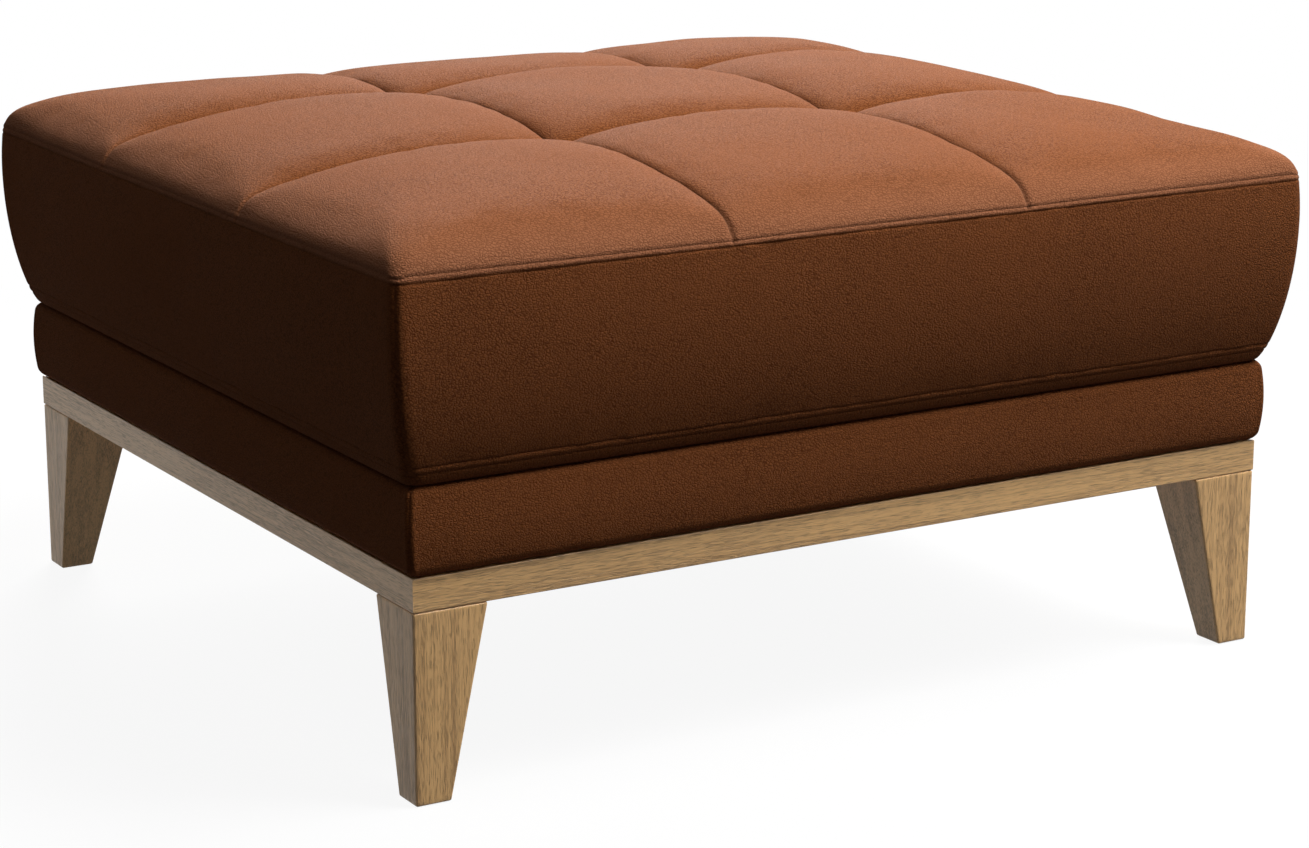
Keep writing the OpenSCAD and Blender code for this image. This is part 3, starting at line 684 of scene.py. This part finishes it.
def ring_inset(x, y):
    """How far inside the seam a point lies, measured by rings whose corners grow rounder inwards. Beside a
    straight side it is the plain distance. In a corner it is the larger root m of
    (corner + g m - u)^2 + (corner + g m - v)^2 = (corner + c m)^2, where u and v are the two plain distances, c
    the growth and g = 1 + c."""
    u, v = TOP_HALF_W - np.abs(x), TOP_HALF_D - np.abs(y)
    c, g, corner = CORNER_GROWTH, 1 + CORNER_GROWTH, settings("cushion").corner
    a = 2 * g * g - c * c
    b = 2 * g * (2 * corner - u - v) - 2 * corner * c
    k = (corner - u) ** 2 + (corner - v) ** 2 - corner ** 2
    m = (-b + np.sqrt(np.maximum(b * b - 4 * a * k, 0))) / (2 * a)
    round_r = corner + c * m
    in_corner = (u - m < round_r) & (v - m < round_r)
    return np.maximum(np.where(in_corner, m, np.minimum(u, v)), 0)


def channel_distance(x, y):
    """Distance to the nearest channel across x, and to the nearest one across y."""
    look = settings("cushion")
    to_front, to_back = np.abs(y + look.channel_front), np.abs(y - look.channel_back)
    return np.abs(np.abs(x) - look.channel_x), np.minimum(to_front, to_back)


def quilt_height(x, y):
    """Height of the quilted top over its plan: the roll of the edge times the quilting, less the channels. The
    quilting is the crossings' height plus arches along the channels and pillows between them. It is fuller in the
    right panels, less so towards the front and back. A channel is a sharp tuck in a wider valley, which is
    shallower lengthwise. The roll starts softly, at sqrt(m^2 + start^2) - start, m being the distance inside."""
    look = settings("cushion")
    px, tx = across_panels(x, TOP_HALF_W, -look.channel_x, look.channel_x)
    py, ty = across_panels(y, TOP_HALF_D, -look.channel_front, look.channel_back)
    m = ring_inset(x, y)
    u, v = TOP_HALF_W - np.abs(x), TOP_HALF_D - np.abs(y)
    start = EDGE_START * growing(np.maximum(u, v), reach=0.16, least=0.6, gain=0.4)
    share = v / np.maximum(u + v, TINY)
    channel_power, pillow_less = 0.30, 0.02
    power = channel_power - pillow_less * (py * share + px * (1 - share))
    roll = edge_roll((np.hypot(m, start) - start) / ROLL_REACH, power)
    both = (look.arch - look.rise) / look.arch
    inner = look.crossing + look.arch * (px + py - both * px * py)
    inner = growing(m, reach=0.03, least=EDGE_RISE, gain=inner - EDGE_RISE)
    right = (x > look.channel_x) * np.clip(2 * (1 - tx), 0, 1) * fade(m, reach=0.02)
    back = (y > look.channel_back) * np.clip(2 * (1 - ty), 0, 1) * fade(m, reach=0.02)
    more, front_loss, back_loss, back_less = 0.10, 0.22, 0.08, 0.03
    more = more - front_loss * fade(-y, reach=0.24, start=0.1) - back_loss * fade(y, reach=0.12, start=0.2)
    fuller = 1 + right * more - back_less * back
    dx, dy = channel_distance(x, y)
    near_x, near_y = decay(dx, look.tuck_reach), decay(dy, look.tuck_reach)
    tuck = look.tuck * (1 - (1 - near_x) * (1 - near_y)) * growing(m, reach=0.07, least=0.55, gain=0.45)
    wide = 1 - (1 - decay(dy, look.dip_reach)) * (1 - decay(dx, look.dip_reach, share=0.45))
    sewn = tuck * fade(m, reach=0.004) + look.dip * wide * fade(m, reach=0.05)
    return SEAM_Z + inner * roll * fuller - sewn, m


def top_lines(half, channels, fine, coarse, reach=0.018, samples=20001):
    """Places of the grid's lines across the top along one axis, and their distance from the nearer seam over the
    leather. They are spread by arc length over the rolled edge, and are closest at the seams and channels."""
    v = -half * np.cos(np.linspace(0, math.pi, samples))
    rise = EDGE_RISE * edge_roll((np.hypot(half - np.abs(v), EDGE_START) - EDGE_START) / ROLL_REACH)
    s = np.concatenate([[0], np.cumsum(np.hypot(np.diff(v), np.diff(rise)))])
    stitch = settings("leather").stitch_in
    marks = [0.0, stitch, *np.interp(channels, v, s), s[-1] - stitch, s[-1]]
    at = graded(s[-1], marks, fine, coarse, reach)
    return np.interp(at, s, v), np.minimum(at, s[-1] - at)


def to_corner_arcs(x, y):
    """Moves the square corners of the plan onto round ones: in a corner, each square ring becomes an arc."""
    inner_x, inner_y = TOP_HALF_W - settings("cushion").corner, TOP_HALF_D - settings("cushion").corner
    px, py = np.abs(x) - inner_x, np.abs(y) - inner_y
    pull = np.where(np.minimum(px, py) > 0, np.maximum(px, py) / np.maximum(np.hypot(px, py), TINY), 1)
    nx, ny = np.where(px > 0, px * pull, px), np.where(py > 0, py * pull, py)
    return np.sign(x) * (inner_x + nx), np.sign(y) * (inner_y + ny)


def plan_lines(fine, coarse):
    """The grid's lines over the top's width and over its depth, each with its distance from the nearer seam."""
    look = settings("cushion")
    return (top_lines(TOP_HALF_W, [-look.channel_x, look.channel_x], fine, coarse),
            top_lines(TOP_HALF_D, [-look.channel_front, look.channel_back], fine, coarse))


def top_surface(inset, fine, coarse):
    """The quilted surface on its grid: the points, the distance from the seam and the distance inside it."""
    (lines_x, from_x), (lines_y, from_y) = plan_lines(fine, coarse)
    from_seam = np.minimum(*np.meshgrid(from_x, from_y))
    x, y = to_corner_arcs(*np.meshgrid(lines_x, lines_y))
    z, m = quilt_height(x, y)
    shrink_x, shrink_y = (TOP_HALF_W - inset) / TOP_HALF_W, (TOP_HALF_D - inset) / TOP_HALF_D
    return np.stack([x * shrink_x, y * shrink_y, z], -1), from_seam, m


def spread(fine, coarse):
    """Weights that carry values from coarse lines to fine ones smoothly: a cubic B-spline over the lines' order."""
    at = np.interp(fine, coarse, np.arange(len(coarse)))
    d = np.abs(at[:, None] - np.arange(len(coarse)))
    weight = np.where(d < 1, 2 / 3 - d ** 2 + d ** 3 / 2, np.clip(2 - d, 0, None) ** 3 / 6)
    return weight / weight.sum(axis=1, keepdims=True)


def settling(fine, coarse):
    """How the quilted leather settles over its filling, as a move of each point of the fine grid. A cloth
    simulation blows up a coarse copy that is held at the seam and in the channels. The moves stay short, as
    limit * tanh(length / limit)."""
    look, held_within = settings("cushion"), 0.001
    grid, _, m = top_surface(0.0, look.cloth_cell, look.cloth_cell)
    held = np.minimum(np.minimum(*channel_distance(grid[..., 0], grid[..., 1])), m) < held_within
    trial = mesh_object("trial", grid.reshape(-1, 3), cells(*m.shape).tolist())
    trial.vertex_groups.new(name="held").add(np.flatnonzero(held).tolist(), 1.0, "REPLACE")
    made = trial.modifiers.new("cloth", "CLOTH")
    made.settings.vertex_group_mass = "held"
    made.settings.mass = 0.5
    made.settings.tension_stiffness = made.settings.compression_stiffness = 25.0
    made.settings.bending_stiffness = 2.0
    made.settings.shrink_min = -0.004
    made.settings.use_pressure = True
    made.settings.uniform_pressure_force = 4.0
    made.settings.effector_weights.gravity = 0.0
    made.point_cache.frame_start, made.point_cache.frame_end = 1, CLOTH_FRAMES
    scene = bpy.context.scene
    for step in range(1, CLOTH_FRAMES + 1):
        scene.frame_set(step)
    settled = np.empty(grid.size)
    trial.evaluated_get(bpy.context.evaluated_depsgraph_get()).data.vertices.foreach_get("co", settled)
    scene.frame_set(1)
    bpy.data.objects.remove(trial)
    move = settled.reshape(grid.shape) - grid
    length = np.maximum(np.linalg.norm(move, axis=-1, keepdims=True), TINY)
    move *= look.settle * np.tanh(length / look.settle) / length
    (coarse_x, _), (coarse_y, _) = plan_lines(look.cloth_cell, look.cloth_cell)
    (fine_x, _), (fine_y, _) = plan_lines(fine, coarse)
    return np.einsum("ij,jkc,lk->ilc", spread(fine_y, coarse_y), move, spread(fine_x, coarse_x))


def foam_height(x, y):
    """The foam's crowned top: its edge plus crown * (1 - x^2)(1 - y^2), x and y as shares of the halves."""
    edge = FOAM_HIGH.z - FOAM_CROWN
    return edge + FOAM_CROWN * (1 - (x / TOP_HALF_W) ** 2) * (1 - (y / TOP_HALF_D) ** 2)


# Operators


class FOOTSTOOL_OT_wood(Operator):
    """Makes the four tapered legs and gives the plinth its oak"""
    bl_idname = "footstool.wood"
    bl_label = "Legs and plinth"

    def execute(self, context):
        look = settings("oak")
        upright = oak("oak_upright", along=2)
        for corner, (right, back) in CORNERS.items():
            finish_piece(self.leg(f"oak_leg_{corner}", right, back, look), upright, "oak", f"leg_{corner}")
        lengthwise, crosswise = oak("oak_lengthwise", along=0), oak("oak_crosswise", along=1)
        for side in SIDES:
            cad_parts[f"rail_{side}"].material_slots[0].material = (
                lengthwise if side in ("front", "back") else crosswise)
        return {"FINISHED"}

    @staticmethod
    def leg(name, right, back, look):
        """A square section whose outer corner stays upright while its side grows from the foot to the top, with
        rounded edges: rings of a rounded square, drawn in at the foot and the top."""
        gap, flat, sharper, least = 0.0002, 0.004, 0.7, 0.0004
        top_z = BOARD_Z - gap
        turn = np.radians(np.linspace(0, 90, num=5))
        rise, pull = look.edge * (1 - np.cos(turn)), look.edge * (1 - np.sin(turn))
        z = np.concatenate([FOOT_Z + rise, [FOOT_Z + flat], [top_z - flat], top_z - rise[::-1]])
        inset = np.concatenate([pull, [0, 0], pull[::-1]])
        width = look.foot_w + (look.top_w - look.foot_w) * (z - FOOT_Z) / (top_z - FOOT_Z)
        rings = []
        for w, level, drawn in zip(width, z, inset):
            half = w / 2 - drawn
            ring = rounded_ring(half, half, max(look.edge - drawn * sharper, least))
            centre = ((1 if right else -1) * (HALF_W - w / 2), (1 if back else -1) * (HALF_D - w / 2))
            rings.append(np.column_stack([ring + centre, np.full(len(ring), level)]))
        return closed_tube(name, np.array(rings))


def rounded_ring(half_x, half_y, r, steps=5, support=0.0012):
    """A rounded rectangle, anticlockwise, with extra points beside each arc that keep the flats flat."""
    points = []
    for k, (sx, sy) in enumerate(((1, -1), (1, 1), (-1, 1), (-1, -1))):
        a = np.radians(np.linspace(90 * (k - 1), 90 * k, steps))
        arc = np.column_stack([sx * (half_x - r) + r * np.cos(a), sy * (half_y - r) + r * np.sin(a)])
        before = arc[0] - support * np.array([-np.sin(a[0]), np.cos(a[0])])
        after = arc[-1] + support * np.array([-np.sin(a[-1]), np.cos(a[-1])])
        points += [before, *arc, after]
    return np.array(points)


class FOOTSTOOL_OT_inside(Operator):
    """Gives the hidden frame, its screws, the webbing and the glides their finishes"""
    bl_idname = "footstool.inside"
    bl_label = "Frame, screws and glides"

    def execute(self, context):
        lengthwise, crosswise, upright = (softwood(f"softwood_{axis}", k) for k, axis in enumerate("xyz"))
        finishes = {
            lengthwise: ("box_rail_front", "box_rail_back"),
            crosswise: ("box_rail_left", "box_rail_right", "box_stretcher", "mitre_dowels"),
            upright: ("box_corner_blocks",),
            zinc(): ("leg_screws", "plinth_screws", "box_screws"),
            woven_webbing(): ("webbing_crosswise", "webbing_lengthwise"),
            foam(): [f"band_padding_{side}" for side in SIDES],
            nylon(): ("leg_glides",),
        }
        for finish, names in finishes.items():
            for name in names:
                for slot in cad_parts[name].material_slots:
                    slot.material = finish
        return {"FINISHED"}


class FOOTSTOOL_OT_cloths(Operator):
    """Makes the black cloth under the frame and the one over the webbing"""
    bl_idname = "footstool.cloths"
    bl_label = "Black cloths"

    def execute(self, context):
        black = cloth()
        self.stretched("dust_cloth", "dust_cover", black, sag=0.0028, rests_on=["rail_front", "rail_back"])
        self.stretched("deck_cloth_sheet", "deck_cloth", black, sag=0.0,
                       rests_on=["webbing_crosswise", "webbing_lengthwise"])
        return {"FINISHED"}

    @staticmethod
    def stretched(name, node, material, sag, rests_on):
        """A flat cloth clamped round its edge. Inside the boards it sags by ((1 - x^2)(1 - y^2))^power, with
        faint waves."""
        low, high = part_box(node)
        above, thickness, margin, power, waves = 0.0003, 0.0006, 0.001, 0.8, 0.25
        x, y = np.meshgrid(np.linspace(low.x, high.x, num=90), np.linspace(low.y, high.y, num=84))
        free_x, free_y = HALF_W - BOARD_W - margin, HALF_D - BOARD_W - margin
        hang = np.clip(1 - (x / free_x) ** 2, 0, None) * np.clip(1 - (y / free_y) ** 2, 0, None)
        lift = -sag * hang ** power * (1 + waves * soft_noise(x, y, size=0.07, seed=31))
        top = np.stack([x, y, (low.z + high.z) / 2 + above + lift], -1)
        made = closed_sheet(name, top, top - np.array([0, 0, thickness]))
        finish_piece(made, material, "black_cloth", node)


class FOOTSTOOL_OT_filling(Operator):
    """Makes the foam block and the quilted wadding inside the leather"""
    bl_idname = "footstool.filling"
    bl_label = "Foam and wadding"

    def execute(self, context):
        block = self.foam_block()
        finish_piece(block, foam(), "foam", "foam_core")
        quilt = self.wadding_quilt()
        finish_piece(quilt, wadding(), "wadding", "quilt_wadding")
        return {"FINISHED"}

    @staticmethod
    def foam_block():
        """Rings that follow the cushion's side a little inside the leather, then run inwards over the crown."""
        corner, rounder, roundest = settings("cushion").corner, 0.004, 0.03
        gap, below, lift, shoulder = 0.0042, 0.0035, 0.001, 0.034
        z = np.linspace(FOAM_LOW.z + lift, FOAM_HIGH.z - shoulder, num=26)
        out = side_out(z) - gap
        rings = [round_ring(o, level, corner + rounder) for o, level in zip(out, z)]
        for inset in (0.002, 0.006, 0.015, 0.03, 0.06, 0.1, 0.15, 0.2, 0.26, 0.32, 0.345):
            ring = round_ring(out[-1] - inset, 0, min(corner + inset, roundest))
            ring[:, 2] = foam_height(ring[:, 0], ring[:, 1]) - below
            rings.append(ring)
        return closed_tube("foam_block", np.array(rings), smooth_below=60)

    @staticmethod
    def wadding_quilt():
        """The quilted surface a little below the leather, over the crowned top of the foam."""
        outer, _, m = top_surface(inset=0.0045, fine=0.0016, coarse=0.008)
        outer[..., 2] -= growing(m, reach=0.004, least=0.0008, gain=0.0028)
        under, sunk, thinnest = outer.copy(), 0.0024, 0.0005
        under[..., 2] = np.minimum(foam_height(outer[..., 0], outer[..., 1]) - sunk, outer[..., 2] - thinnest)
        return closed_sheet("wadding_quilt", outer, under)


class FOOTSTOOL_OT_band(Operator):
    """Makes the padded leather band round the frame"""
    bl_idname = "footstool.band"
    bl_label = "Band"

    def execute(self, context):
        look = settings("band")
        hide = shared("cognac_leather", leather)
        middle, half = (BOARD_TOP + CREASE_Z) / 2, (CREASE_Z - BOARD_TOP) / 2
        gap, rolled_degrees = 0.0001, 76
        turn = np.radians(np.linspace(0, rolled_degrees, num=12))
        low_z = BOARD_TOP + look.roll + gap - look.roll * np.sin(turn[::-1])
        high_z = CREASE_Z - look.roll - gap + look.roll * np.sin(turn)
        straight = np.linspace(low_z[-1], high_z[0], num=14)[1:-1]
        z = np.concatenate([low_z, straight, high_z])
        bulge = look.edge_out + (BAND_OUT - look.edge_out) * (1 - ((z - middle) / half) ** 2)
        drawn = np.concatenate([np.cos(turn[::-1]), np.ones(len(straight)), np.cos(turn)])
        out = bulge - look.roll * (1 - drawn)
        for seed, side in zip((50, 57, 64, 71), SIDES):
            skin = side_skin(f"band_leather_{side}", side, out, z, look.corner, [], puckers=0.8, seed=seed)
            finish_piece(skin, hide, "leather", f"band_cover_{side}")
        return {"FINISHED"}


class FOOTSTOOL_OT_sides(Operator):
    """Makes the four leather panels round the cushion, and the leather strip and bottom below them"""
    bl_idname = "footstool.sides"
    bl_label = "Cushion sides"

    def execute(self, context):
        hide = shared("cognac_leather", leather)
        look, cushion = settings("leather"), settings("cushion")
        height = SEAM_Z - LOWER_SEAM_Z
        z = LOWER_SEAM_Z + graded(height, [0.0, height], fine=0.0005, coarse=0.006, reach=0.022)
        out = side_out(z)
        length = np.hypot(np.diff(out), np.diff(z)).sum()
        seams = [(0.0, look.seam_depth), (length, look.seam_depth)]
        for seed, side in zip((10, 19, 28, 37), SIDES):
            skin = side_skin(f"boxing_leather_{side}", side, out, z, cushion.corner, seams, puckers=1.0, seed=seed)
            finish_piece(skin, hide, "leather", f"boxing_{side}")
        base = self.base(look, cushion)
        finish_piece(base, hide, "leather", "cushion_base")
        return {"FINISHED"}

    @staticmethod
    def base(look, cushion):
        """The bowl below the lower seam: rings up its outside, in over the seam's edge and down its inside. A
        stitched line runs round it below the seam, with a soft ridge between the two."""
        height = LOWER_SEAM_Z - CREASE_Z
        stitch = height - look.base_stitch
        up = graded(height, [stitch, height], fine=0.0004, coarse=0.0012, reach=0.004)
        z = CREASE_Z + up
        out = side_out(z)
        to_seam, to_stitch = (height - up)[:, None], (up - stitch)[:, None]
        rings, painted_shades, bowl_shade = [], [], 0.1
        for side in SIDES:
            columns = side_columns(side, cushion.corner)
            to_corner = columns[2][None, :]
            push = groove(to_corner, look.seam_depth, look.seam_width)
            push = push + groove(to_seam, look.seam_depth, look.seam_width)
            push = push + groove(to_stitch, depth=0.0004, width=0.0007)
            push = push + ridge(to_seam, height=0.0003, width=0.0018, beside=look.base_stitch / 2)
            push = push * fade(up[:, None], reach=0.002)
            # Painted shade in the lower seam, its stitched line and the upright corner seams, kept faint on the
            # bowl.
            dark = np.maximum(painted_shade_line(to_seam, 1.0), painted_shade_line(to_stitch, 0.8, width=0.0005))
            dark = bowl_shade * np.maximum(dark, painted_shade_line(to_corner, 1.0))
            outer, inner = skins(side_grid(side, out, z, cushion.corner, columns), push)
            inner[:, :, 2] = np.maximum(inner[:, :, 2], CREASE_Z + look.thickness)
            rings.append(turned(np.concatenate([outer, inner[::-1]])[:, :-1], side))
            painted_shades.append(np.concatenate([dark, dark[::-1]])[:, :-1])
        rings = np.concatenate(rings, axis=1)
        made = closed_tube("cushion_bottom_leather", rings, smooth_below=60)
        give(made, rings, crease=np.concatenate(painted_shades, axis=1), pucker=0.5)
        return made


class FOOTSTOOL_OT_top(Operator):
    """Makes the quilted leather top"""
    bl_idname = "footstool.top"
    bl_label = "Quilted top"

    def execute(self, context):
        steps = {"fine": 0.0005, "coarse": 0.0042}
        base, from_seam, m = top_surface(0.0, **steps)
        deepest = 0.0006
        move = settling(**steps) * fade(m, reach=0.008)[..., None]
        move[..., 2] = np.maximum(move[..., 2], -deepest)
        base = base + move
        dx, dy = channel_distance(base[..., 0], base[..., 1])
        outer, inner = skins(base, self.relief(base, from_seam, m, dx, dy))
        made = closed_sheet("cushion_top_leather", outer, inner)
        stitch, channel = from_seam - settings("leather").stitch_in, np.minimum(dx, dy)
        # Painted shade along the seam, its stitched line and the channels.
        dark = np.maximum(painted_shade_line(from_seam, 0.04), painted_shade_line(stitch, 0.05, width=0.0005))
        line = np.maximum(painted_shade_line(dx, 1.0, width=0.0014), painted_shade_line(dy, 0.4, width=0.0014))
        channel_shade = 0.6 * line * growing(m, reach=0.03, least=0.7, gain=0.3)
        dark = np.maximum(dark, channel_shade)
        gathered = np.maximum(decay(from_seam, reach=0.009), decay(channel, reach=0.012, share=0.7))
        # The rolled edge paled along the seam: partly rubbed wear, partly a painted highlight.
        rubbed = (1 - fade(from_seam, reach=0.065)) * fade(from_seam, reach=0.003)
        give(made, outer, crease=dark, pucker=gathered, rubbed=rubbed)
        finish_piece(made, shared("cognac_leather", leather), "leather", "quilted_top")
        return {"FINISHED"}

    @staticmethod
    def relief(base, from_seam, m, dx, dy):
        """How far the top is pushed along its normals: the sum of the grooves of the seam and of its stitched line
        with a ridge on each side of that line, the channels' notches in the rolled edge, puckers along the seam,
        gathers along the channels and slow waves over the pillows."""
        look = settings("leather")
        x, y = base[..., 0], base[..., 1]
        channel, inside, stitch = np.minimum(dx, dy), fade(m, reach=0.02), from_seam - look.stitch_in
        stitch_depth, stitch_width = look.seam_depth * 0.75, look.seam_width * 0.7
        push = groove(from_seam, look.seam_depth, look.seam_width)
        push = push + groove(stitch, stitch_depth, stitch_width)
        push = push + ridge(from_seam, height=0.0004, width=0.0014, beside=look.stitch_in / 2)
        push = push + ridge(stitch, height=0.0004, width=0.0016, beside=0.0026)
        notch = groove(channel, depth=0.0016, width=0.0022)
        push = push + notch * (1 - fade(m, reach=0.05)) * fade(from_seam, reach=0.004)
        pucker_height, gather_height, other_edges = 0.0004, 0.0005, 3
        along = np.where(np.abs(x) / TOP_HALF_W > np.abs(y) / TOP_HALF_D, y, x + other_edges)
        puckers = pucker_height * soft_noise(along, 0 * along, PUCKER_LENGTH, seed=3)
        push = push + puckers * decay(from_seam, PUCKER_REACH) * fade(from_seam, reach=0.002)
        gathers = sum(soft_noise(v, 0 * v, size=0.014, seed=seed) * decay(d, reach=0.014)
                      for v, d, seed in ((y, dx, 5), (x, dy, 6)))
        push = push + gather_height * gathers * fade(channel, reach=0.004) * inside
        long_wave, short_wave = 0.0009, 0.0004
        waves = long_wave * soft_noise(x, y, size=0.10, seed=7) + short_wave * soft_noise(x, y, size=0.04, seed=8)
        return push + inside * waves * fade(channel, reach=0.02)


# The camera: its lens in millimetres, its place, and how far it looks down and to the right in degrees
LENS, EYE, LOOK_DOWN, LOOK_RIGHT = 92.154, (-1.3693, -2.3452, 0.8400), 14.2, 30.8

# The lamps: the place, the size and the setting of the power of each, and the point that they face
LAMPS = {
    "overhead": ((1.25, -0.95, 2.9), 1.6, "key"),
    "front_right": ((1.9, -2.4, 3.4), 1.6, "side"),
    "behind": ((2.7, 4.7, 3.0), 2.8, "back"),
    "left": ((-1.7, 0.2, 3.5), 1.6, "left"),
}
LAMPS_FACE = (0, 0, 0.3)

# The floor: half its side, and the distances from the middle between which its shadow fades out
FLOOR_HALF, SHADOW_WHOLE, SHADOW_GONE = 30, 0.55, 1.5
WHITE = (1.0, 1.0, 1.0)


def seen_rays(n):
    """1 for the rays of the camera, of mirrors and through glass, which see the white behind the footstool."""
    ray = n.add("LightPath", None, "Is Camera Ray")
    mirror = Value(n, ray.socket.node.outputs["Is Glossy Ray"])
    through = Value(n, ray.socket.node.outputs["Is Transmission Ray"])
    return n.math("MAXIMUM", n.math("MAXIMUM", ray, mirror), through)


def floor_paper():
    """White to the camera, apart from a share round the footstool that keeps its soft shadow."""
    look = settings("stage")
    n = new_material("paper")
    seen = seen_rays(n)
    away = n.vector("LENGTH", n.place(), "Value")
    share = look.glow + n.steps(away, SHADOW_WHOLE, SHADOW_GONE) * (1 - look.glow)
    paper = n.add("BsdfDiffuse", None, 0, Color=n.mix(seen, look.bounce, look.paper))
    glow = n.add("Emission", None, 0, Color=WHITE, Strength=1.0)
    return n.output(n.add("MixShader", None, 0, i0=seen * share, i1=paper, i2=glow))


class FOOTSTOOL_OT_stage(Operator):
    """Places the camera, the lights, the floor and the white room"""
    bl_idname = "footstool.stage"
    bl_label = "Camera, lights and floor"

    def execute(self, context):
        look = settings("stage")
        scene = context.scene
        scene.view_settings.view_transform = "Standard"
        camera = bpy.data.cameras.new("camera")
        camera.lens = LENS
        eye = bpy.data.objects.new("camera", camera)
        eye.location = EYE
        eye.rotation_euler = (math.radians(90 - LOOK_DOWN), 0, math.radians(-LOOK_RIGHT))
        scene.collection.objects.link(eye)
        scene.camera = eye
        for name, (place, size, power_of) in LAMPS.items():
            self.soft_box(name, np.array(place), size, getattr(look, power_of))
        square = np.array([[-1, -1, 0], [1, -1, 0], [1, 1, 0], [-1, 1, 0]], float)
        floor = mesh_object("floor", FLOOR_HALF * square, [[0, 1, 2, 3]])
        floor.data.materials.append(floor_paper())
        self.room(scene, look)
        return {"FINISHED"}

    @staticmethod
    def soft_box(name, place, size, strength):
        """A square light that faces the cushion."""
        lamp = bpy.data.lights.new(name, "AREA")
        lamp.shape, lamp.size, lamp.energy = "SQUARE", size, strength
        made = bpy.data.objects.new(name, lamp)
        made.location = place
        x, y, z = place - LAMPS_FACE
        made.rotation_euler = (math.atan2(math.hypot(x, y), z), 0, math.atan2(x, -y))
        bpy.context.scene.collection.objects.link(made)

    @staticmethod
    def room(scene, look):
        """White behind the footstool and in its reflections, and a low even light from all round."""
        scene.world = scene.world or bpy.data.worlds.new("room")
        n = Nodes(scene.world)
        low, white = (n.add("Background", None, 0, Color=WHITE, Strength=light) for light in (look.room, 1.0))
        n.output(n.add("MixShader", None, 0, i0=seen_rays(n), i1=low, i2=white), "OutputWorld")


class FOOTSTOOL_PT_parts(Panel):
    """Lists the footstool's pieces and sizes in the sidebar"""
    bl_label = "Footstool"
    bl_idname = "FOOTSTOOL_PT_parts"
    bl_space_type = "VIEW_3D"
    bl_region_type = "UI"
    bl_category = "Footstool"

    def draw(self, context):
        for maker in MAKERS:
            self.layout.operator(maker.bl_idname)
        for name, group in GROUPS.items():
            box = self.layout.box()
            box.label(text=name.capitalize())
            for key in group.__annotations__:
                box.prop(settings(name), key)


GROUPS = {"oak": OakSettings, "leather": LeatherSettings, "cushion": CushionSettings, "band": BandSettings,
          "stage": StageSettings}
MAKERS = (FOOTSTOOL_OT_stage, FOOTSTOOL_OT_wood, FOOTSTOOL_OT_inside, FOOTSTOOL_OT_cloths, FOOTSTOOL_OT_filling,
          FOOTSTOOL_OT_band, FOOTSTOOL_OT_sides, FOOTSTOOL_OT_top)
CLASSES = (*GROUPS.values(), *MAKERS, FOOTSTOOL_PT_parts)


def register():
    """Makes the settings, the buttons and the panel known to Blender."""
    for made in CLASSES:
        bpy.utils.register_class(made)
    for name, group in GROUPS.items():
        setattr(bpy.types.Scene, f"footstool_{name}", PointerProperty(type=group))


def unregister():
    """Takes them away again."""
    for name in GROUPS:
        delattr(bpy.types.Scene, f"footstool_{name}")
    for made in reversed(CLASSES):
        bpy.utils.unregister_class(made)


def main():
    """Builds the whole footstool and its stage."""
    register()
    bpy.ops.footstool.stage()
    bpy.ops.footstool.wood()
    bpy.ops.footstool.inside()
    bpy.ops.footstool.cloths()
    bpy.ops.footstool.filling()
    bpy.ops.footstool.band()
    bpy.ops.footstool.sides()
    bpy.ops.footstool.top()


if __name__ == "__main__":
    main()
